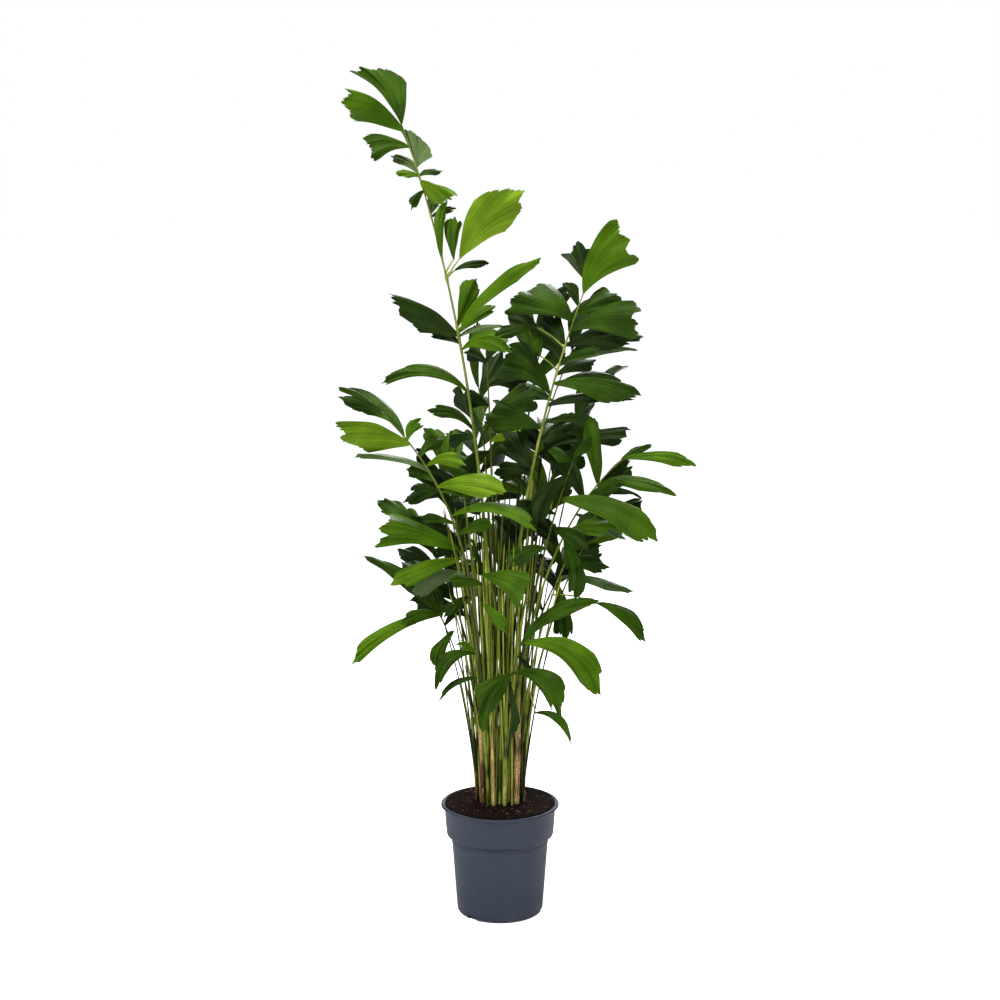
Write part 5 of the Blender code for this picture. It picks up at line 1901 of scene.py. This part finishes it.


# The shaded petioles are near black: painted shade deep in the clump, between the shoots.
YOUNG, OLD, SHADED_STALK = (
    StalkFinish("petiole_" + name, *(colour(*part) for part in parts))
    for name, *parts in (
        ("young", (138, 154, 38), (188, 194, 84), (52, 72, 16), (58, 46, 20)),
        ("old", (74, 62, 34), (128, 108, 58), (30, 26, 14), (26, 18, 10)),
        ("shaded", (36, 46, 16), (62, 72, 28), (16, 22, 7), (22, 18, 9)),
    )
)
SPARE_PETIOLES = (
    SparePetioles("old", OLD, 26, 7, (27.0, 46.0), (0.0022, 0.0036), 0.0014, (-2.6, 3.4), 4.4),
    SparePetioles("young", YOUNG, 36, 5, (48.0, 86.0), (0.0015, 0.0024), 0.0011, (-3.6, 1.0), wander=2.4),
    SparePetioles("shaded", SHADED_STALK, 60, 9, (50.0, 98.0), (0.0014, 0.0028), 0.0012, (-0.5, 3.8), wander=3.0,
                  tries=4000),
    SparePetioles("sprung", YOUNG, 44, 13, (60.0, 92.0), (0.0016, 0.0025), 0.0012, wander=4.2,
                  springs=(0.25, 0.7), tries=1400),
    SparePetioles("inner", SHADED_STALK, 40, 15, (60.0, 98.0), (0.0013, 0.0022), 0.0011, wander=4.0,
                  springs=(0.2, 0.6), tries=4000),
)


@dataclass
class Pot:
    """The nursery pot: thin, with a rolled lip, a wide band, a step, a faint ring and drain notches."""

    height: float = 0.229
    lip_radius: float = 0.120
    lip_depth: float = 0.006
    lip_roll: float = 0.003
    band_radius: float = 0.113
    band_foot: float = 0.164
    band_step: float = 0.005
    band_taper: float = 0.0045
    body_radius: float = 0.0985
    base_radius: float = 0.0875
    base_round: float = 0.010
    ring_drop: float = 0.011
    ring_rise: float = 0.0007
    wall: float = 0.0016
    floor: float = 0.004
    notches: int = 3
    notch_size: tuple = (0.020, 0.022, 0.018)
    notch_turn: float = 0.904
    sides: int = 128
    finish: PlasticFinish = PlasticFinish("slate_plastic")

    def body_at(self, height: float) -> float:
        """The body's radius at a height, where it tapers."""
        share = (height - self.base_round) / (self.band_foot - self.band_step - self.base_round)
        return self.base_radius + (self.body_radius - self.base_radius) * share

    def outline(self, inset: float) -> list[tuple[float, float]]:
        """The outside from the foot up to the lip, moved in by inset.

        Args:
            inset: How far it is moved in.

        Returns:
            (radius, height) of each ring.
        """
        rounded = []
        for angle in map(math.radians, (0, 22, 45, 67, 90)):
            radius = self.base_radius - self.base_round * (1 - math.sin(angle)) * 0.9
            rounded.append((radius - inset, self.base_round * (1 - math.cos(angle))))
        step = self.band_foot - self.band_step
        ring_at = step - self.ring_drop
        low_band = self.band_radius - self.band_taper
        rise = self.ring_rise if inset == 0.0 else 0.0
        bulge = ((-0.004, 0.0), (-0.0015, 0.3), (0.0, 1.0), (0.003, 1.0), (0.0045, 0.0))
        rings = [(self.body_at(height), height) for height in (0.04, 0.08, 0.12)]
        rings += [(self.body_at(ring_at + up) + rise * share, ring_at + up) for up, share in bulge]
        rings += [
            (self.body_radius, step - 0.0012),
            (self.body_radius + 0.0012, step),
            (low_band - 0.0028, self.band_foot - 0.0012),
            (low_band - 0.0006, self.band_foot + 0.0006),
            (low_band + 0.0002, self.band_foot + 0.003),
            (self.band_radius - 0.0022, 0.190),
            (self.band_radius - 0.0003, self.height - self.lip_depth - 0.003),
        ]
        return rounded + [(radius - inset, height) for radius, height in rings]

    def build(self) -> None:
        """Model and dress the pot."""
        lip_foot, roll = self.height - self.lip_depth, self.lip_roll
        lip = [(self.band_radius + 0.0012, lip_foot - 0.0008)]
        for angle in map(math.radians, (-60, -20, 20, 60, 90, 120)):
            out, up = roll * math.cos(angle), roll * math.sin(angle)
            lip.append((self.lip_radius - roll + out, lip_foot + roll + up))
        inside = [(self.band_radius - self.wall + 0.0006, self.height - 0.0008)]
        inside += self.outline(self.wall)[::-1][1:-4]
        inside += [(self.base_radius - 0.0040, self.floor)]
        pot = turned("nursery_pot", self.outline(0.0) + lip + inside, self.sides)
        carved(pot, [self.notch(k) for k in range(self.notches)])
        only(pot)
        bpy.ops.object.shade_smooth_by_angle(angle=math.radians(38))
        pot.data.materials.append(self.finish.make())
        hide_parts("pot")
        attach(pot, "root")
        LOG.info("%s: %d faces", pot.name, len(pot.data.polygons))

    def notch(self, number: int) -> Piece:
        """The tool of one drain notch.

        Args:
            number: Which of them.

        Returns:
            The tool.
        """
        angle = math.tau * (number + self.notch_turn) / self.notches
        deselect()
        bpy.ops.mesh.primitive_cube_add(size=1.0)
        tool = bpy.context.object
        tool.scale = self.notch_size
        tool.rotation_euler.z = angle
        tool.location = (self.base_radius * math.cos(angle), self.base_radius * math.sin(angle), 0.0)
        bpy.ops.object.transform_apply(location=True, rotation=True, scale=True)
        return tool


@dataclass
class Soil:
    """The potting soil: a lumpy crumbled top, strewn with bark chips and pale fibres."""

    top: float = SOIL_TOP
    depth: float = 0.03
    edge_radius: float = 0.1116
    edge_drop: float = -0.0022
    edge_run: float = 0.004
    mound: float = 0.0045
    rings: int = 44
    sides: int = 144
    lump: float = 0.0030
    chips: int = 460
    fibres: int = 36
    finish: EarthFinish = EarthFinish("potting_soil")
    chip_finish: EarthFinish = EarthFinish(
        "bark_chips", colour(30, 16, 11), colour(58, 34, 24), colour(128, 98, 68), 0.70, 0.8
    )
    fibre_finish: EarthFinish = EarthFinish(
        "pale_fibres", colour(104, 80, 54), colour(140, 114, 78), colour(170, 146, 104), 0.6, 0.7
    )

    def level(self, x: float, y: float) -> float:
        """The height of the soil's top at a place.

        Args:
            x: The place's x.
            y: Its y.

        Returns:
            The height.
        """
        radius = math.hypot(x, y)
        crumbs = ((1.0, 55, 1.3), (0.55, 150, 4.1), (0.35, 420, 8.7))
        rough = sum(share * noise.noise(Vector((x * fine, y * fine, at))) for share, fine, at in crumbs)
        calm = min(1.0, max(0.0, (self.edge_radius - radius) / self.edge_run))
        heap = self.mound * (1 - (radius / self.edge_radius) ** 2)
        return self.top - self.edge_drop + heap + self.lump * rough * (0.3 + 0.7 * calm)

    def build(self) -> None:
        """Model and dress the soil and what lies on it."""
        edge = self.edge_radius
        profile = [(edge - 0.004, self.top - self.depth), (edge - 0.0008, self.top - 0.004)]
        profile += [(edge * (1 - k / self.rings), self.top) for k in range(self.rings)]
        soil = turned("potting_soil", profile, self.sides)
        for vertex in soil.data.vertices:
            if vertex.co.z > self.top - 0.001:
                vertex.co.z = self.level(vertex.co.x, vertex.co.y)
        only(soil)
        bpy.ops.object.shade_smooth_by_angle(angle=math.radians(60))
        self.dress(soil, self.finish)
        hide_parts("soil")
        LOG.info("%s: %d faces", soil.name, len(soil.data.polygons))
        self.strew(self.chip_finish, self.chips, 21, (0.0012, 0.0042), (0.4, 0.9), 0.45)
        self.strew(self.fibre_finish, self.fibres, 22, (0.006, 0.017), (0.04, 0.08), 0.9)

    def dress(self, piece: Piece, finish: EarthFinish) -> None:
        """Give a piece its finish and its place on the body.

        Args:
            piece: The piece.
            finish: The finish.
        """
        piece.data.materials.append(finish.make())
        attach(piece, "root")

    def strew(
        self, finish: EarthFinish, count: int, seed: int, lengths: tuple, slimness: tuple, flatness: float
    ) -> None:
        """Scatter small bits over the soil as one piece, named as its finish.

        Args:
            finish: Their finish.
            count: How many bits.
            seed: The seed of the draws.
            lengths: The shortest and the longest.
            slimness: Their width as a part of their length, from and to.
            flatness: Their thickness as a part of their width.
        """
        sheaf, rng = Sheaf(), random.Random(seed)
        corners = np.array([(x, y, z) for x in (-1, 1) for y in (-1, 1) for z in (-1, 1)], dtype=float) / 2
        faces = np.array([(0, 1, 3, 2), (4, 6, 7, 5), (0, 4, 5, 1), (2, 3, 7, 6), (0, 2, 6, 4), (1, 5, 7, 3)])
        for _ in range(count):
            radius, angle = self.edge_radius * 0.97 * math.sqrt(rng.random()), rng.uniform(0, math.tau)
            x, y = radius * math.cos(angle), radius * math.sin(angle)
            length = rng.uniform(*lengths)
            width = length * rng.uniform(*slimness)
            size = np.array([length, width, width * flatness])
            shape = corners * size * np.array([[rng.uniform(0.6, 1.15) for _ in range(3)] for _ in range(8)])
            axis = (rng.uniform(-0.4, 0.4), rng.uniform(-0.4, 0.4), 1.0)
            turn = np.array(Quaternion(axis, rng.uniform(0, 6)).to_matrix())
            place = np.array([x, y, self.level(x, y) + size[2] * rng.uniform(0.0, 0.5)])
            sheaf.add(shape @ turn.T + place, faces, corners[:, :2], rng.uniform(-1, 1))
        piece = sheaf.mesh(finish.name, 30.0)
        self.dress(piece, finish)
        LOG.info("%s: %d bits", piece.name, count)


# ---------------- the studio


@dataclass
class Studio:
    """A pale floor, soft light from wide panels, and the camera in front of the plant."""

    camera_place: tuple = (0.0, -4.10, 1.55)
    camera_dip: float = 9.65
    lens: float = 75.35
    floor_size: float = 60.0
    sky: float = 0.15
    panels: tuple = (  # name, place, height that it faces, size, watts
        ("key", (-2.0, -3.0, 3.4), 0.9, (1.5, 1.5), 142.0),
        ("fill", (2.6, -3.0, 2.2), 0.8, (1.8, 2.2), 50.0),
        ("top", (0.0, 0.2, 4.0), 1.0, (1.6, 1.6), 104.0),
        ("back", (0.6, 3.2, 2.4), 1.1, (1.8, 1.8), 60.0),
    )

    def build(self) -> None:
        """Set up the floor, the light and the camera."""
        self.lay_floor()
        self.light_world()
        for panel in self.panels:
            self.hang_panel(*panel)
        self.set_camera()
        scene = bpy.context.scene
        scene.view_settings.view_transform = "Standard"
        scene.view_settings.look = "None"

    def lay_floor(self) -> None:
        """A wide level floor."""
        deselect()
        bpy.ops.mesh.primitive_plane_add(size=self.floor_size, location=(0.0, 0.0, 0.0))
        floor = bpy.context.object
        floor.name = "studio_floor"
        floor.data.materials.append(PaperFinish("paper_floor").make())

    def light_world(self) -> None:
        """A white surround: full white to the eye, softer as light."""
        world = bpy.data.worlds.new("surround")
        bpy.context.scene.world = world
        world.use_nodes = True
        p = Palette(world.node_tree)
        seen = p.put("LightPath").outputs["Is Camera Ray"]
        glow = p.spread(seen, 0.0, 1.0, self.sky, 1.0)
        p.fill(world.node_tree.nodes["Background"], Color=WHITE, Strength=glow)

    def hang_panel(self, name: str, place: tuple, aim: float, size: tuple, power: float) -> None:
        """Hang a soft light panel.

        Args:
            name: Its name.
            place: Where it hangs.
            aim: The height on the plant that it faces.
            size: Its width and height.
            power: Its power in watts.
        """
        data = bpy.data.lights.new(name, "AREA")
        data.shape = "RECTANGLE"
        data.size, data.size_y = size
        data.energy = power
        panel = bpy.data.objects.new(name, data)
        panel.location = place
        panel.rotation_euler = (UP * aim - Vector(place)).to_track_quat("-Z", "Y").to_euler()
        bpy.context.scene.collection.objects.link(panel)

    def set_camera(self) -> None:
        """Set the camera in front, a little above the plant's middle."""
        data = bpy.data.cameras.new("camera")
        data.lens = self.lens
        data.sensor_width = 36.0
        camera = bpy.data.objects.new("camera", data)
        camera.location = self.camera_place
        camera.rotation_euler = (math.radians(90.0 - self.camera_dip), 0.0, 0.0)
        bpy.context.scene.collection.objects.link(camera)
        bpy.context.scene.camera = camera


def main() -> None:
    """Build the potted palm and its studio, piece by piece."""
    logging.basicConfig(level=logging.INFO, format="%(name)s: %(message)s")
    layout = Layout()
    fronds, grown = layout.grow()
    LOG.info("%d fronds carry %d leaflets", len(fronds), len(grown))
    Pot().build()
    Soil().build()
    Sheaths().build()
    Limbs(layout).build(fronds)
    room = Room(layout, fronds)
    for sort in SPARE_PETIOLES:
        sort.build(room)
    Foliage().build(grown)
    Studio().build()


if __name__ == "__main__":
    main()
